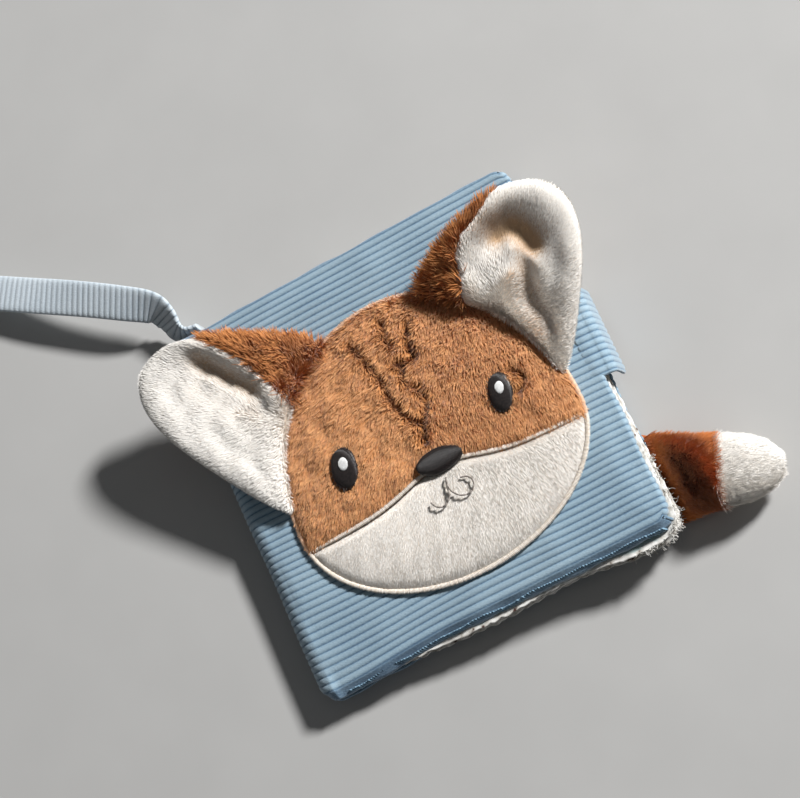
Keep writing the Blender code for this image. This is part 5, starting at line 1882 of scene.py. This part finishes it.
    def _mouth(self) -> None:
        """Stitch the mouth: two thin curls of backstitch, half sunk in the pile."""
        curls = {
            "left": ((4.6, -26.0), (3.6, -30.5), (3.0, -33.4), (1.2, -35.3), (-1.2, -36.1), (-3.6, -35.0), (-5.2, -32.4)),
            "right": (
                (4.8, -26.0), (4.1, -29.4), (4.9, -32.5), (7.3, -35.1), (10.4, -36.0), (13.2, -34.8), (14.4, -32.0),
                (13.0, -29.6), (10.0, -28.6),
            ),
        }
        for side, curl in curls.items():
            plan = smooth_path(np.array(curl) / 1000, 14)
            x, y = plan.T
            run = np.concatenate([[0], np.cumsum(np.hypot(np.diff(x), np.diff(y)))])
            dip = np.abs(np.sin(run / 0.0026 * math.pi)) ** 0.5
            fade = 1 - 0.8 * ease((run / run[-1] - 0.78) / 0.2) if side == "right" else 1.0
            h = self.plan.rise(x, y) + 0.0011 + 0.0008 * dip * fade
            path = add_mesh(
                f"mouth_thread_{side}", self.frame.place(np.column_stack([x, y, h])), [], None,
                [(i, i + 1) for i in range(len(x) - 1)],
            )
            grow(path, Trees.threads(), {"Radius": 0.00036, "Material": self.finishes.mouth})
            path.data.shade_smooth()
            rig.ride(path, Body.FRONT.value)
            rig.replaces(path, f"mouth_stitch_{side}")
            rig.slot(path, "thread_dark")


# ---------------------------------------------------------------- the ears


@dataclass
class Ear:
    """A stuffed ear: a hollow cream inside with rounded rims and a rust back."""

    side: str
    frame: CoverFrame
    finishes: Finishes
    plan: FacePlan
    reach: float
    slope: float
    lean: float
    drop: float
    seam: tuple[tuple[float, float], ...]
    valleys: tuple[tuple[float, float, tuple[tuple[float, float], ...]], ...]
    ridge: float = 0.0050
    roll: float = 0.11
    hem: float = 0.0060
    clearance: float = 0.0012
    rise: float = 0.0032
    lip: float = 0.0026
    lip_reach: float = 0.0045
    rim: float = 0.0026
    rim_reach: float = 0.0120

    SHARES = (
        (0.01, 0.13), (0.03, 0.30), (0.07, 0.50), (0.12, 0.70), (0.19, 0.86), (0.29, 0.96), (0.41, 1.00),
        (0.54, 0.97), (0.65, 0.88), (0.74, 0.75), (0.82, 0.58), (0.89, 0.40), (0.95, 0.23), (0.99, 0.10),
    )

    @property
    def sign(self) -> int:
        """Which side of the face the ear is on."""
        return -1 if self.side == "left" else 1

    def chord(self) -> tuple[Array, Array, Array, float]:
        """The ear's hinge chord.

        Returns:
            Its inner end, its direction, the outward direction and its length.
        """
        ends = self.plan.edge(np.radians([71.0, 9.0]))
        ends[:, 0] = self.plan.x + self.sign * (ends[:, 0] - self.plan.x)
        length = float(np.linalg.norm(ends[1] - ends[0]))
        along = (ends[1] - ends[0]) / length
        out = np.array([-along[1], along[0]]) * self.sign
        return ends[0], along, out, length

    def outline(self) -> Array:
        """The ear's outline in plan, anticlockwise."""
        start, along, out, length = self.chord()
        free = np.array(
            [
                start + (a + self.lean * o) * length * along + (self.clearance + o * self.reach) * out
                for a, o in self.SHARES
            ]
        )
        free = smooth_path(free, 7)
        arc = self.plan.edge(np.radians(np.linspace(9, 71, 26)), 0.0002)
        arc[:, 0] = self.plan.x + self.sign * (arc[:, 0] - self.plan.x)
        outline = np.vstack([free, arc])
        area = np.sum(outline[:, 0] * np.roll(outline[:, 1], -1) - np.roll(outline[:, 0], -1) * outline[:, 1])
        return outline if area > 0 else outline[::-1]

    def heights(self, outline: Array) -> tuple[HeightRule, HeightRule, Callable]:
        """The ear's upper and lower surfaces and where the rust strip ends.

        Args:
            outline: The ear's outline in plan.

        Returns:
            Upper height, lower height and the strip rule, which is under 1 on rust.
        """
        start, along, out, length = self.chord()
        loop = np.vstack([outline, outline[:1]])
        seam = np.array(self.seam)
        valleys = [
            (width, depth, smooth_path(np.array(path) * np.array([length, self.reach]), 5))
            for width, depth, path in self.valleys
        ]

        def local(x: Array, y: Array) -> tuple[Array, Array]:
            dx, dy = x - start[0], y - start[1]
            return dx * along[0] + dy * along[1], dx * out[0] + dy * out[1]

        def strip(x: Array, y: Array) -> Array:
            t, e = local(x, y)
            return t - np.interp(e / self.reach, seam[:, 0], seam[:, 1]) * length

        def dents(t: Array, e: Array) -> Array:
            total = np.zeros_like(t)
            for width, depth, path in valleys:
                total = np.maximum(total, depth * np.exp(-((path_gap(t, e, path) / width) ** 2)))
            return total

        def middle(x: Array, y: Array) -> Array:
            t, e = local(x, y)
            roll = self.roll * (0.5 - t / length) * e
            hem = self.hem * ease(1 - t / length * 3) * ease(2 * e / self.reach)
            return self.rise - self.drop + self.slope * e + roll + hem

        def top(x: Array, y: Array) -> Array:
            t, e = local(x, y)
            gap = path_gap(x, y, loop)
            lip = self.lip * np.sqrt(1 - (1 - np.clip(gap / self.lip_reach, 0, 1)) ** 2)
            rim = self.rim * np.sin(np.pi * np.clip(gap / self.rim_reach, 0, 1)) ** 2
            s = strip(x, y)
            crest = np.exp(-(((s - 0.0022) / 0.0048) ** 2)) - 0.35 * np.exp(-((s / 0.0012) ** 2))
            base = ease(e / 0.016)
            curl = self.ridge * crest * base * np.clip(1.1 - (e / self.reach) ** 3, 0, 1)
            inside = ease(gap / 0.009)
            tufts = ripple(x, y, 0.013, 17 + self.sign) * 0.0004
            return middle(x, y) + lip + rim * base + curl - dents(t, e) * inside + tufts * inside

        def low(x: Array, y: Array) -> Array:
            t, e = local(x, y)
            gap = path_gap(x, y, loop)
            lip = 0.0014 * np.sqrt(1 - (1 - np.clip(gap / self.lip_reach, 0, 1)) ** 2)
            full = ease(gap / 0.011) * np.clip(0.22 + e / 0.034, 0, 1)
            return middle(x, y) - lip - np.maximum(0.0062 * ease(gap / 0.018), dents(t, e)) * full

        return top, low, strip

    def _shade(self, points: Array) -> Array:
        """How much painted shade the pile takes in the ear's folds and hollows, from 0 to 1."""
        start, along, out, length = self.chord()
        dx, dy = points[:, 0] - start[0], points[:, 1] - start[1]
        t, e = dx * along[0] + dy * along[1], dx * out[0] + dy * out[1]
        dark = np.zeros(len(points))
        for width, depth, path in self.valleys:
            line = smooth_path(np.array(path) * np.array([length, self.reach]), 5)
            dark = np.maximum(dark, depth / 0.0046 * np.exp(-((path_gap(t, e, line) / (width * 1.15)) ** 2)))
        return np.clip(dark, 0, 1)

    def build(self) -> None:
        """Build the ear's cream front and its rust back with their coats."""
        outline = self.outline()
        start, along, out, length = self.chord()
        centre = start + along * length * 0.5 + out * self.reach * 0.42
        top, low, strip = self.heights(outline)
        shares = np.array([0.993, 0.98, 0.96, 0.935, 0.905] + list(np.linspace(0.87, 0.02, 34)))

        def floor(x: Array, y: Array) -> Array:
            under = low(x, y)
            over_cover = (np.abs(x) < 0.0795) & (np.abs(y) < 0.081)
            return np.where(over_cover, np.maximum(under, 0.0006), under)

        points, faces, upper = ring_pad(outline, centre, shares, top, floor)
        count = len(outline)
        rows = len(points) // count
        # close both middles with quads so that the whole skin is one grid of quads
        faces = faces.tolist()
        half = count // 2
        top_cap = [[j, (j + 1) % count, (count - 2 - j) % count, (count - 1 - j) % count] for j in range(half - 1)]
        last = (rows - 1) * count
        low_cap = [[last + f for f in face[::-1]] for face in top_cap]
        whole = np.array(faces + top_cap + low_cap)
        mids = points[whole].mean(axis=1)
        is_top = np.zeros(len(whole), bool)
        is_top[:upper] = True
        is_top[len(faces) : len(faces) + len(top_cap)] = True
        hemmed = np.zeros(len(whole), bool)
        hemmed[upper : upper + 7 * count] = True
        rusty = (~is_top & ~hemmed) | (strip(mids[:, 0], mids[:, 1]) < 0.0)
        world = self.frame.place(points)
        normals = vertex_normals(world, whole)
        if normals[:count, 2].mean() < 0:
            whole = whole[:, ::-1]
        flow = np.column_stack([np.tile(out, (len(points), 1)), np.full(len(points), 0.1)])
        away = np.column_stack([(points[:, :2] - centre), np.zeros(len(points))])
        away /= np.linalg.norm(away, axis=1, keepdims=True) + 1e-9
        comb = flow * 0.7 + away * 0.5
        parts = (
            ("front", ~rusty, self.finishes.cream, "plush_cream", Coat(1.15e7, 0.0021, 0.00027, 3.2, 0.14, -0.15, 0.007, 11, 0.09)),
            ("back", rusty, self.finishes.amber, "plush_rust", Coat(5.5e6, 0.0052, 0.00040, 1.2, 0.6, -0.2, 0.005, 12)),
        )
        dark = self._shade(points)
        for part, mask, material, slot, coat in parts:
            chosen = whole[mask]
            used = np.unique(chosen)
            renumber = np.full(len(points), -1)
            renumber[used] = np.arange(len(used))
            shell, closed = thicken(world[used], renumber[chosen], 0.0009)
            obj = add_mesh(f"{self.side}_ear_{part}_coat", shell, closed, material)
            # painted shade in the ear's hollows, carried by the deep attribute
            set_values(obj, "deep", np.tile(dark[used], 2))
            coat.grow_on(obj, len(chosen), np.vstack([comb[used], comb[used]]), material)
            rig.ride(obj, Body.LEFT_EAR.value if self.sign < 0 else Body.RIGHT_EAR.value)
            if part == "front":
                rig.replaces(obj, f"{self.side}_ear_front")
            else:
                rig.replaces(obj, f"{self.side}_ear_back", f"{self.side}_ear_wadding")
            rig.slot(obj, slot)
            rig.padded(obj, fill=0.5)


# ---------------------------------------------------------------- the tail


@dataclass
class Tail:
    """The stuffed tail: flat at its seam, then full, rust with a cream tip."""

    finishes: Finishes
    place: tuple[float, float, float] = (0.07875, -0.0615, 0.0)
    angle: float = math.radians(-18.7)
    root_half: float = 0.0195
    half: float = 0.0133
    body: float = 0.0232
    length: float = 0.0482
    top: float = 0.0222
    floor: float = 0.0004
    root_top: float = 0.0044
    root_low: float = 0.0012
    full_reach: float = 0.0225
    ring: int = 56

    def half_width(self, along: float) -> float:
        """Half the tail's width at a distance along it."""
        if along < self.body:
            share = float(ease(np.array(along / self.body)))
            return self.root_half + (self.half - self.root_half) * share
        reach = (along - self.body) / (self.length - self.body)
        return self.half * max(0.0, 1 - reach**2.2) ** 0.5

    def section(self, along: float) -> Array:
        """One ring of the tail, in world metres.

        Args:
            along: The distance along the tail.

        Returns:
            The ring's points.
        """
        c, s = math.cos(self.angle), math.sin(self.angle)
        a = np.linspace(0, 2 * math.pi, self.ring, endpoint=False)
        power = 2 / 2.2
        width = self.half_width(along)
        across = width * np.sign(np.cos(a)) * np.abs(np.cos(a)) ** power
        side = np.sign(np.sin(a)) * np.abs(np.sin(a)) ** power
        share = min(along / self.body, 1.0)
        at = (GAP + across * s) / c * (1 - share) + along * share
        x = at * c - across * s
        y = at * s + across * c
        swell = ease(x / self.full_reach)
        taper = 1.0
        if along > self.body:
            reach = min(1.0, (along - self.body) / (self.length - self.body))
            taper = max(0.0, 1 - reach**2.4) ** 0.5
        root_half = (self.root_top - self.root_low) / 2
        full_half = (self.top - self.floor) / 2
        half = root_half + (full_half * taper - root_half) * swell
        root_middle = (self.root_top + self.root_low) / 2
        middle = root_middle + (self.floor + full_half - root_middle) * swell
        lumps = 1 + ripple(x, y + side * 0.01, 0.02, 71) * 0.035 * swell
        z = middle + half * side * lumps
        return np.column_stack([self.place[0] + x, self.place[1] + y, np.maximum(z, 0.0003)])

    def build(self) -> None:
        """Build the tail's body and tip with their coats."""
        parts = (
            ("tail_body", np.linspace(0.0, self.body - 0.0001, 26), self.finishes.rust, "plush_rust",
             Coat(1.5e7, 0.0050, 0.00040, 1.4, 0.36, -0.2, 0.0050, 21)),
            ("tail_tip", self.body + 0.0001 + (self.length - self.body - 0.0016) * np.sin(np.linspace(0, math.pi / 2, 26)),
             self.finishes.cream, "plush_cream", Coat(1.2e7, 0.0038, 0.00032, 1.7, 0.45, -0.2, 0.0045, 22, 0.30)),
        )
        c, s = math.cos(self.angle), math.sin(self.angle)
        for name, places, material, slot, coat in parts:
            rings = np.vstack([self.section(float(p)) for p in places])
            faces = tube_faces(len(places), self.ring)
            side_faces = len(faces) - 2
            obj = add_mesh(f"{name}_coat", rings, faces, material)
            bm = bmesh.new()
            bm.from_mesh(obj.data)
            bmesh.ops.recalc_face_normals(bm, faces=bm.faces)
            bm.to_mesh(obj.data)
            bm.free()
            comb = np.tile(np.array([c, s, 0.0]), (len(rings), 1))
            outer = side_faces if name == "tail_body" else len(faces)
            height = np.array([rings[f, 2].mean() for f in faces[:outer]])
            under = np.arange(outer) % self.ring >= self.ring // 2
            bare = np.where(under, height < 0.0078, height < 0.0036)
            bare[side_faces:side_faces + 1] = True
            coat.grow_on(obj, outer, comb, material, bare)
            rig.ride(obj, Body.TAIL.value)
            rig.replaces(obj, f"{name}_upper", f"{name}_lower")
            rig.slot(obj, slot)
            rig.padded(obj, fill=0.8)


# ---------------------------------------------------------------- strap and tab


@dataclass
class Strap:
    """The corduroy strap: on edge at its seam, flat on the floor at its free end."""

    material: bpy.types.Material
    hook: bpy.types.Material
    loop: bpy.types.Material
    length: float = 0.175
    width: float = 0.0160
    thickness: float = 0.0028
    crest: float = 0.0150
    seat: tuple[float, float] = (-0.06825, 0.0817)
    floor: float = 0.0002
    pitch: float = 0.00255
    rib: float = 0.00042

    ROUTE = (
        (0.000, 0.000, 0.57, 0.0), (0.035, 0.002, 0.58, 0.12), (0.058, 0.022, 0.64, 0.34), (0.066, 0.058, 0.76, 0.50),
        (0.085, 0.095, 0.92, 0.62), (0.150, 0.140, 1.00, 0.76), (0.245, 0.202, 0.92, 0.84), (0.370, 0.280, 0.68, 0.97),
        (0.500, 0.362, 0.36, 1.0), (0.610, 0.430, 0.13, 1.0), (0.700, 0.478, 0.11, 1.0), (0.800, 0.515, 0.11, 1.0),
    )

    def path(self, steps: int) -> tuple[Array, Array, Array, Array]:
        """The strap's middle line with its width and thickness directions.

        Args:
            steps: Points in each span of the route.

        Returns:
            Points, width directions, normals and the distance along.
        """
        table = np.array(self.ROUTE)
        rest = self.floor + self.thickness / 2
        z = np.maximum(table[:, 2] * self.crest, rest)
        points = np.column_stack(
            [self.seat[0] - table[:, 0] * self.length, self.seat[1] + table[:, 1] * self.length, z]
        )
        fine = smooth_path(np.column_stack([points, table[:, 3]]), steps)
        points, flat = fine[:, :3], fine[:, 3]
        points[:, 2] = np.maximum(points[:, 2], rest)
        tangent = np.gradient(points, axis=0)
        tangent /= np.linalg.norm(tangent, axis=1, keepdims=True)
        level = np.cross([0, 0, 1], tangent)
        level /= np.linalg.norm(level, axis=1, keepdims=True)
        upright = np.cross(tangent, level)
        turn = flat[:, None] * math.pi / 2
        across = upright * np.cos(turn) - level * np.sin(turn)
        across /= np.linalg.norm(across, axis=1, keepdims=True)
        normal = np.cross(tangent, across)
        run = np.concatenate([[0], np.cumsum(np.linalg.norm(np.diff(points, axis=0), axis=1))])
        return points, across, normal, run

    def build(self) -> None:
        """Build the ribbed strap."""
        points, across, normal, run = self.path(60)
        ring = 28
        a = np.linspace(0, 2 * math.pi, ring, endpoint=False)
        cosa, sina = np.cos(a), np.sin(a)
        wide = np.sign(cosa) * np.abs(cosa) ** 0.35
        thin = np.sign(sina) * np.abs(sina) ** 0.8
        ridge = np.abs(np.cos(math.pi * run / self.pitch)) ** 0.6
        half_w, half_t = self.width / 2, self.thickness / 2
        rings = (
            points[:, None, :]
            + across[:, None, :] * (wide * (half_w - 0.0003))[None, :, None]
            + normal[:, None, :] * (thin[None, :] * (half_t + (ridge[:, None] - 1) * self.rib))[..., None]
        )
        obj = add_mesh("pram_strap_cloth", rings.reshape(-1, 3), tube_faces(len(points), ring), self.material)
        # painted shade: the ribs' dark groove colour is full near the seam and fades along the strap
        near = 1 - 0.72 * ease((run - 0.014) / 0.030)
        set_values(obj, "wale", np.repeat(1 - (1 - ridge) * near, ring))
        tidy(obj)
        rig.ride(obj, Body.STRAP.value)
        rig.replaces(obj, "pram_strap")
        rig.slot(obj, "corduroy_blue")
        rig.padded(obj, fill=0.3)
        LOG.info("strap: %.1f mm along its middle line", run[-1] * 1000)


@dataclass
class Tab:
    """The closure tab: corduroy that bends down over the page edges."""

    material: bpy.types.Material
    frame: CoverFrame
    cloth: CoverCloth
    half_x: float = 0.07875
    y: float = 0.0020
    width: float = 0.0380
    thickness: float = 0.0024
    reach: float = 0.0060
    bend: float = 0.0042
    drop: float = 0.0146
    root: float = 0.0052
    wale: float = 0.00065

    def build(self) -> None:
        """Build the tab as one closed ribbed strip that runs on from the cover."""
        top = [(self.half_x - self.root, -0.00085), (self.half_x - 0.0030, -0.0007), (self.half_x - 0.0008, -0.0009)]
        x0, h0 = self.half_x + self.reach - self.bend, -0.0017
        for a in np.linspace(math.pi / 2, 0, 12):
            top.append((x0 + self.bend * math.cos(a), h0 - self.bend * (1 - math.sin(a))))
        x, z = top[-1]
        top.extend((x + 0.0004 * math.sin(3 * share), z - self.drop * share) for share in np.linspace(0.08, 1.0, 16))
        line = smooth_path(np.array(top), 2)
        tangent = np.gradient(line, axis=0)
        tangent /= np.linalg.norm(tangent, axis=1, keepdims=True)
        outward = np.column_stack([-tangent[:, 1], tangent[:, 0]])
        places, over, profile = self.cloth._columns()
        inside = (over == 0) & (np.abs(places - self.y) < self.width / 2 - 0.0002)
        ends = np.array([self.y - self.width / 2, self.y + self.width / 2])
        y = np.concatenate([ends[:1], places[inside], ends[1:]])
        ridge = np.concatenate([[0.3], profile[inside], [0.3]])
        lip = np.sqrt(1 - (1 - np.clip((self.width / 2 - np.abs(y - self.y)) / 0.0016, 0, 1)) ** 2)
        count = len(line)
        rings = []
        for i in range(count):
            left = (count - 1 - i) / 5
            tip = math.sqrt(max(0.02, 1 - max(0.0, 1 - left) ** 2))
            round_off = 0.0030 * (1 - math.sqrt(max(0.0, 1 - max(0.0, 1 - left / 1.6) ** 2)))
            yy = self.y + (y - self.y) * (1 - round_off / (self.width / 2))
            out = (ridge - 1) * self.wale * lip * tip - self.thickness / 2 * (1 - lip * tip)
            under = -self.thickness + self.thickness / 2 * (1 - lip * tip)
            upper = np.column_stack([line[i, 0] + outward[i, 0] * out, yy, line[i, 1] + outward[i, 1] * out])
            lower = np.column_stack([line[i, 0] + outward[i, 0] * under, yy, line[i, 1] + outward[i, 1] * under])
            rings.append(np.vstack([upper, lower[::-1]]))
        points = np.vstack(rings)
        obj = add_mesh("closure_tab_cloth", self.frame.place(points), tube_faces(count, 2 * len(y)), self.material)
        # the wale value also sets the corduroy's painted groove shade
        set_values(obj, "wale", np.tile(np.concatenate([ridge, np.full(len(y), 0.4)]), count))
        tidy(obj)
        inner = self.frame.place(np.array([[self.half_x - 0.0030, self.y, -0.0010]]))[0]
        outer = self.frame.place(np.array([[self.half_x + 0.0014, self.y, -0.0030]]))[0]
        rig.blend(obj, "front_cover", "tab", tuple(inner), tuple(outer))
        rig.replaces(obj, "closure_tab")
        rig.slot(obj, "corduroy_blue")
        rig.padded(obj, fill=0.3)


# ---------------------------------------------------------------- the book


class Book:
    """The cloth book's sub-assemblies, dressed in order."""

    def __init__(self) -> None:
        """Make the finishes and the shared frames."""
        self.finishes = Finishes()
        self.frame = CoverFrame()
        self.face = Face(self.frame, self.finishes)

    def covers(self) -> None:
        """Dress both covers and the spine between them."""
        cloth = CoverCloth()
        corduroy = self.finishes.corduroy
        front = cloth.build("front_cover_cloth", self.frame.place, 1, True, corduroy)
        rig.blend(front, "spine", "front_cover", (-0.0828, 0, 0.0100), (-0.0772, 0, 0.0158))
        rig.replaces(front, "front_cover_corduroy")
        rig.slot(front, "corduroy_blue")
        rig.padded(front, fill=0.4)

        self._overlock(cloth)

        def under(points: Array) -> Array:
            return np.column_stack([points[:, 0], points[:, 1], -points[:, 2]])

        low = CoverCloth(depth=0.0042)
        back = low.build("back_cover_cloth", under, 11, False, corduroy)
        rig.blend(back, "back_cover", "spine", (-0.0772, 0, 0.0002), (-0.0828, 0, 0.0060))
        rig.replaces(back, "back_cover_corduroy", "spine_corduroy")
        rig.slot(back, "corduroy_blue")
        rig.padded(back, fill=0.4)

    def _overlock(self, cloth: CoverCloth) -> None:
        """Sew the overlock stitches along the front cover's lower edge.

        Args:
            cloth: The cover's corduroy.
        """
        x = np.linspace(-0.0700, 0.0735, 160)
        y = np.full(len(x), -cloth.half_y - 0.0016)
        y = y - cloth._spread(x, y) + ripple(x, y, 0.019, 4) * 0.0004
        h = np.full(len(x), -cloth.depth * 0.98) + ripple(x, y, 0.012, 6) * 0.0004
        path = add_mesh(
            "front_cover_overlock", self.frame.place(np.column_stack([x, y, h])), [], None,
            [(i, i + 1) for i in range(len(x) - 1)],
        )
        values = {
            "Pitch": 0.00125, "Length": 0.0046, "Width": 0.00066, "Height": 0.0010, "Up": Vector((0.0, -1.0, 0.35)),
            "Slant": 0.45, "Seed": 9, "Material": self.finishes.seam,
        }
        grow(path, Trees.stitches(), values)
        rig.ride(path, Body.FRONT.value)
        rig.slot(path, "corduroy_blue")

    def inside(self) -> None:
        """Dress the linings and the leaves."""
        prints = {
            "front": Page("printed_cotton_lining_front", motif=Motif.DOTS, ink="B0623A", second="5E7F98"),
            "back": Page("printed_cotton_lining_back", motif=Motif.STRIPES, ink="5E7F98", second="8FA9BA"),
        }
        for side, page in prints.items():
            panel = SoftPanel(-0.0768, 0.0768, -0.0780, 0.0780, corner=0.0088)
            x, y, gap = panel.plan()
            puff = ease((gap - 0.003) / 0.02) * 0.00016
            wave = ripple(x, y, 0.03, 30) * 0.00008
            if side == "front":
                top = np.full(x.shape, -0.0037)
                low = np.maximum(-0.0044, -0.0041 - puff - wave)
                points, faces = panel.shell(top, low, x, y)
                world = self.frame.place(points)
            else:
                top = np.minimum(0.0042, 0.0039 + puff + wave)
                low = np.full(x.shape, 0.0035)
                world, faces = panel.shell(top, low, x, y)
            obj = add_mesh(f"{side}_cover_inside_page", world, faces, page.build())
            hem = ease((gap - 0.004) / 0.001).ravel()
            set_values(obj, "hem", np.concatenate([hem, hem]))
            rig.ride(obj, f"{side}_cover")
            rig.replaces(obj, f"{side}_cover_lining")
            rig.slot(obj, "lining_cotton")
        pages = (
            Page("printed_cotton_leaf_1", motif=Motif.LEAVES, ink="7C5A3A", second="9A4E2C"),
            Page("printed_cotton_leaf_2", motif=Motif.DOTS, ink="3E4A52", second="8A4A2C"),
            Page("printed_cotton_leaf_3", motif=Motif.LEAVES, ink="5A6B4A", second="8A4A2C"),
            Page(
                "printed_cotton_leaf_4", motif=Motif.LEAVES, ground="93A8A8", light="A9BAB8", ink="E3DDD0",
                second="5E7A80",
            ),
        )
        for k, page in enumerate(pages):
            Leaf(k + 1).build(page.build())

    def ears(self) -> None:
        """Build both ears."""
        Ear(
            "left", self.frame, self.finishes, self.face.plan, 0.0690, 0.23, 0.0, 0.0001, rim=0.0004, ridge=0.0030,
            seam=((0.0, 0.42), (0.1, 0.39), (0.23, 0.31), (0.33, 0.24), (0.44, 0.18), (0.58, 0.135), (0.7, 0.115), (0.9, 0.1)),
            valleys=((0.0050, 0.0030, ((0.24, 0.68), (0.28, 0.56), (0.32, 0.44), (0.35, 0.36))),
                     (0.0080, 0.0008, ((0.38, 0.62), (0.43, 0.45), (0.46, 0.32)))),
        ).build()
        Ear(
            "right", self.frame, self.finishes, self.face.plan, 0.0625, 0.30, 0.10, 0.0010, rim=0.0006,
            seam=((0.0, 0.32), (0.1, 0.31), (0.23, 0.27), (0.35, 0.195), (0.48, 0.175), (0.6, 0.205), (0.7, 0.225), (1.0, 0.25)),
            valleys=((0.0066, 0.0044, ((0.34, 0.60), (0.39, 0.66), (0.47, 0.67), (0.54, 0.64))),
                     (0.0050, 0.0025, ((0.51, 0.60), (0.54, 0.52), (0.57, 0.45), (0.62, 0.37), (0.70, 0.28), (0.80, 0.20)))),
        ).build()

    def rest(self) -> None:
        """Build the tail, the strap and the tab, and dress the CAD nodes that stay."""
        Tail(self.finishes).build()
        Strap(self.finishes.strap, self.finishes.hook, self.finishes.loop).build()
        Tab(self.finishes.corduroy, self.frame, CoverCloth()).build()
        kept = {
            "wadding": self.finishes.wadding, "film": self.finishes.film, "hook_patch": self.finishes.hook,
            "loop_patch": self.finishes.loop, "spine_lining": self.finishes.lining,
        }
        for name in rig.load.nodes if hasattr(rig.load, "nodes") else FRAME["nodes"]:
            obj = bpy.data.objects.get(name)
            if obj is None or obj.type != "MESH" or obj.hide_render:
                continue
            for part, material in kept.items():
                if part in name:
                    for slot in obj.material_slots:
                        slot.material = material


@dataclass
class Studio:
    """Camera, floor and lights."""

    azimuth: float = math.radians(37.11)
    elevation: float = math.radians(74.0)
    roll: float = math.radians(-62.79)
    distance: float = 1.0
    focal_px: float = 2440.0
    frame_px: float = 800.0
    target: tuple[float, float, float] = (-0.00285, 0.0150, 0.012)
    light_way: tuple[float, float, float] = (0.84, 0.36, 0.66)
    light_distance: float = 3.0
    light_size: float = 0.46
    light_power: float = 152.0
    sky: float = 0.12

    def camera(self) -> None:
        """Aim the camera as the photograph was taken."""
        sa, ca = math.sin(self.azimuth), math.cos(self.azimuth)
        se, ce = math.sin(self.elevation), math.cos(self.elevation)
        look = Vector((-sa * ce, ca * ce, -se))
        right = Vector((ca, sa, 0.0))
        up = right.cross(look)
        c, s = math.cos(self.roll), math.sin(self.roll)
        right, up = right * c + up * s, right * -s + up * c
        data = bpy.data.cameras.new("camera")
        data.sensor_width = 36.0
        data.lens = self.focal_px / self.frame_px * data.sensor_width
        data.clip_start = 0.01
        camera = bpy.data.objects.new("camera", data)
        bpy.context.collection.objects.link(camera)
        turned = Matrix((right, up, -look)).transposed().to_4x4()
        turned.translation = Vector(self.target) - look * self.distance
        camera.matrix_world = turned
        bpy.context.scene.camera = camera

    def light(self) -> None:
        """Set the window-like key light, the sky and the floor."""
        way = Vector(self.light_way).normalized()
        data = bpy.data.lights.new("key", "AREA")
        data.shape = "DISK"
        data.size = self.light_size
        data.energy = self.light_power
        key = bpy.data.objects.new("key", data)
        bpy.context.collection.objects.link(key)
        key.matrix_world = way.to_track_quat("Z", "Y").to_matrix().to_4x4()
        key.matrix_world.translation = way * self.light_distance
        world = bpy.data.worlds.new("sky")
        world.use_nodes = True
        world.node_tree.nodes["Background"].inputs["Color"].default_value = linear("F4F7FA")
        world.node_tree.nodes["Background"].inputs["Strength"].default_value = self.sky
        bpy.context.scene.world = world
        half = 3.0
        floor = add_mesh(
            "floor", np.array([(-half, -half, 0), (half, -half, 0), (half, half, 0), (-half, half, 0)], float),
            [[0, 1, 2, 3]],
            Plain("matte_floor", light="B6B5B3", dark="B1B0AE", grain=0.05, sheen=0.0, depth=0.0).build(),
        )
        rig.stage(floor)

    def view(self) -> None:
        """Set plain colour management."""
        bpy.context.scene.view_settings.view_transform = "Standard"


def main() -> None:
    """Dress the book, light it and report each step."""
    logging.basicConfig(level=logging.INFO, format="%(message)s")
    cad_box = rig.bounds()
    studio = Studio()
    studio.camera()
    book = Book()
    steps = (
        ("covers", book.covers), ("inside", book.inside), ("plush face", book.face.plush),
        ("satin edges", book.face.edging), ("features", book.face.features), ("ears", book.ears),
        ("tail, strap and tab", book.rest), ("light", studio.light), ("view", studio.view),
    )
    for label, step in steps:
        step()
        LOG.info("built %s", label)
    sizes = {
        "cad": [[float(v) for v in corner] for corner in cad_box],
        "visual": [[float(v) for v in corner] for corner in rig.bounds()],
    }
    with open("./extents.json", "w") as out:
        json.dump(sizes, out)


if __name__ == "__main__":
    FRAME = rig.load()
    main()
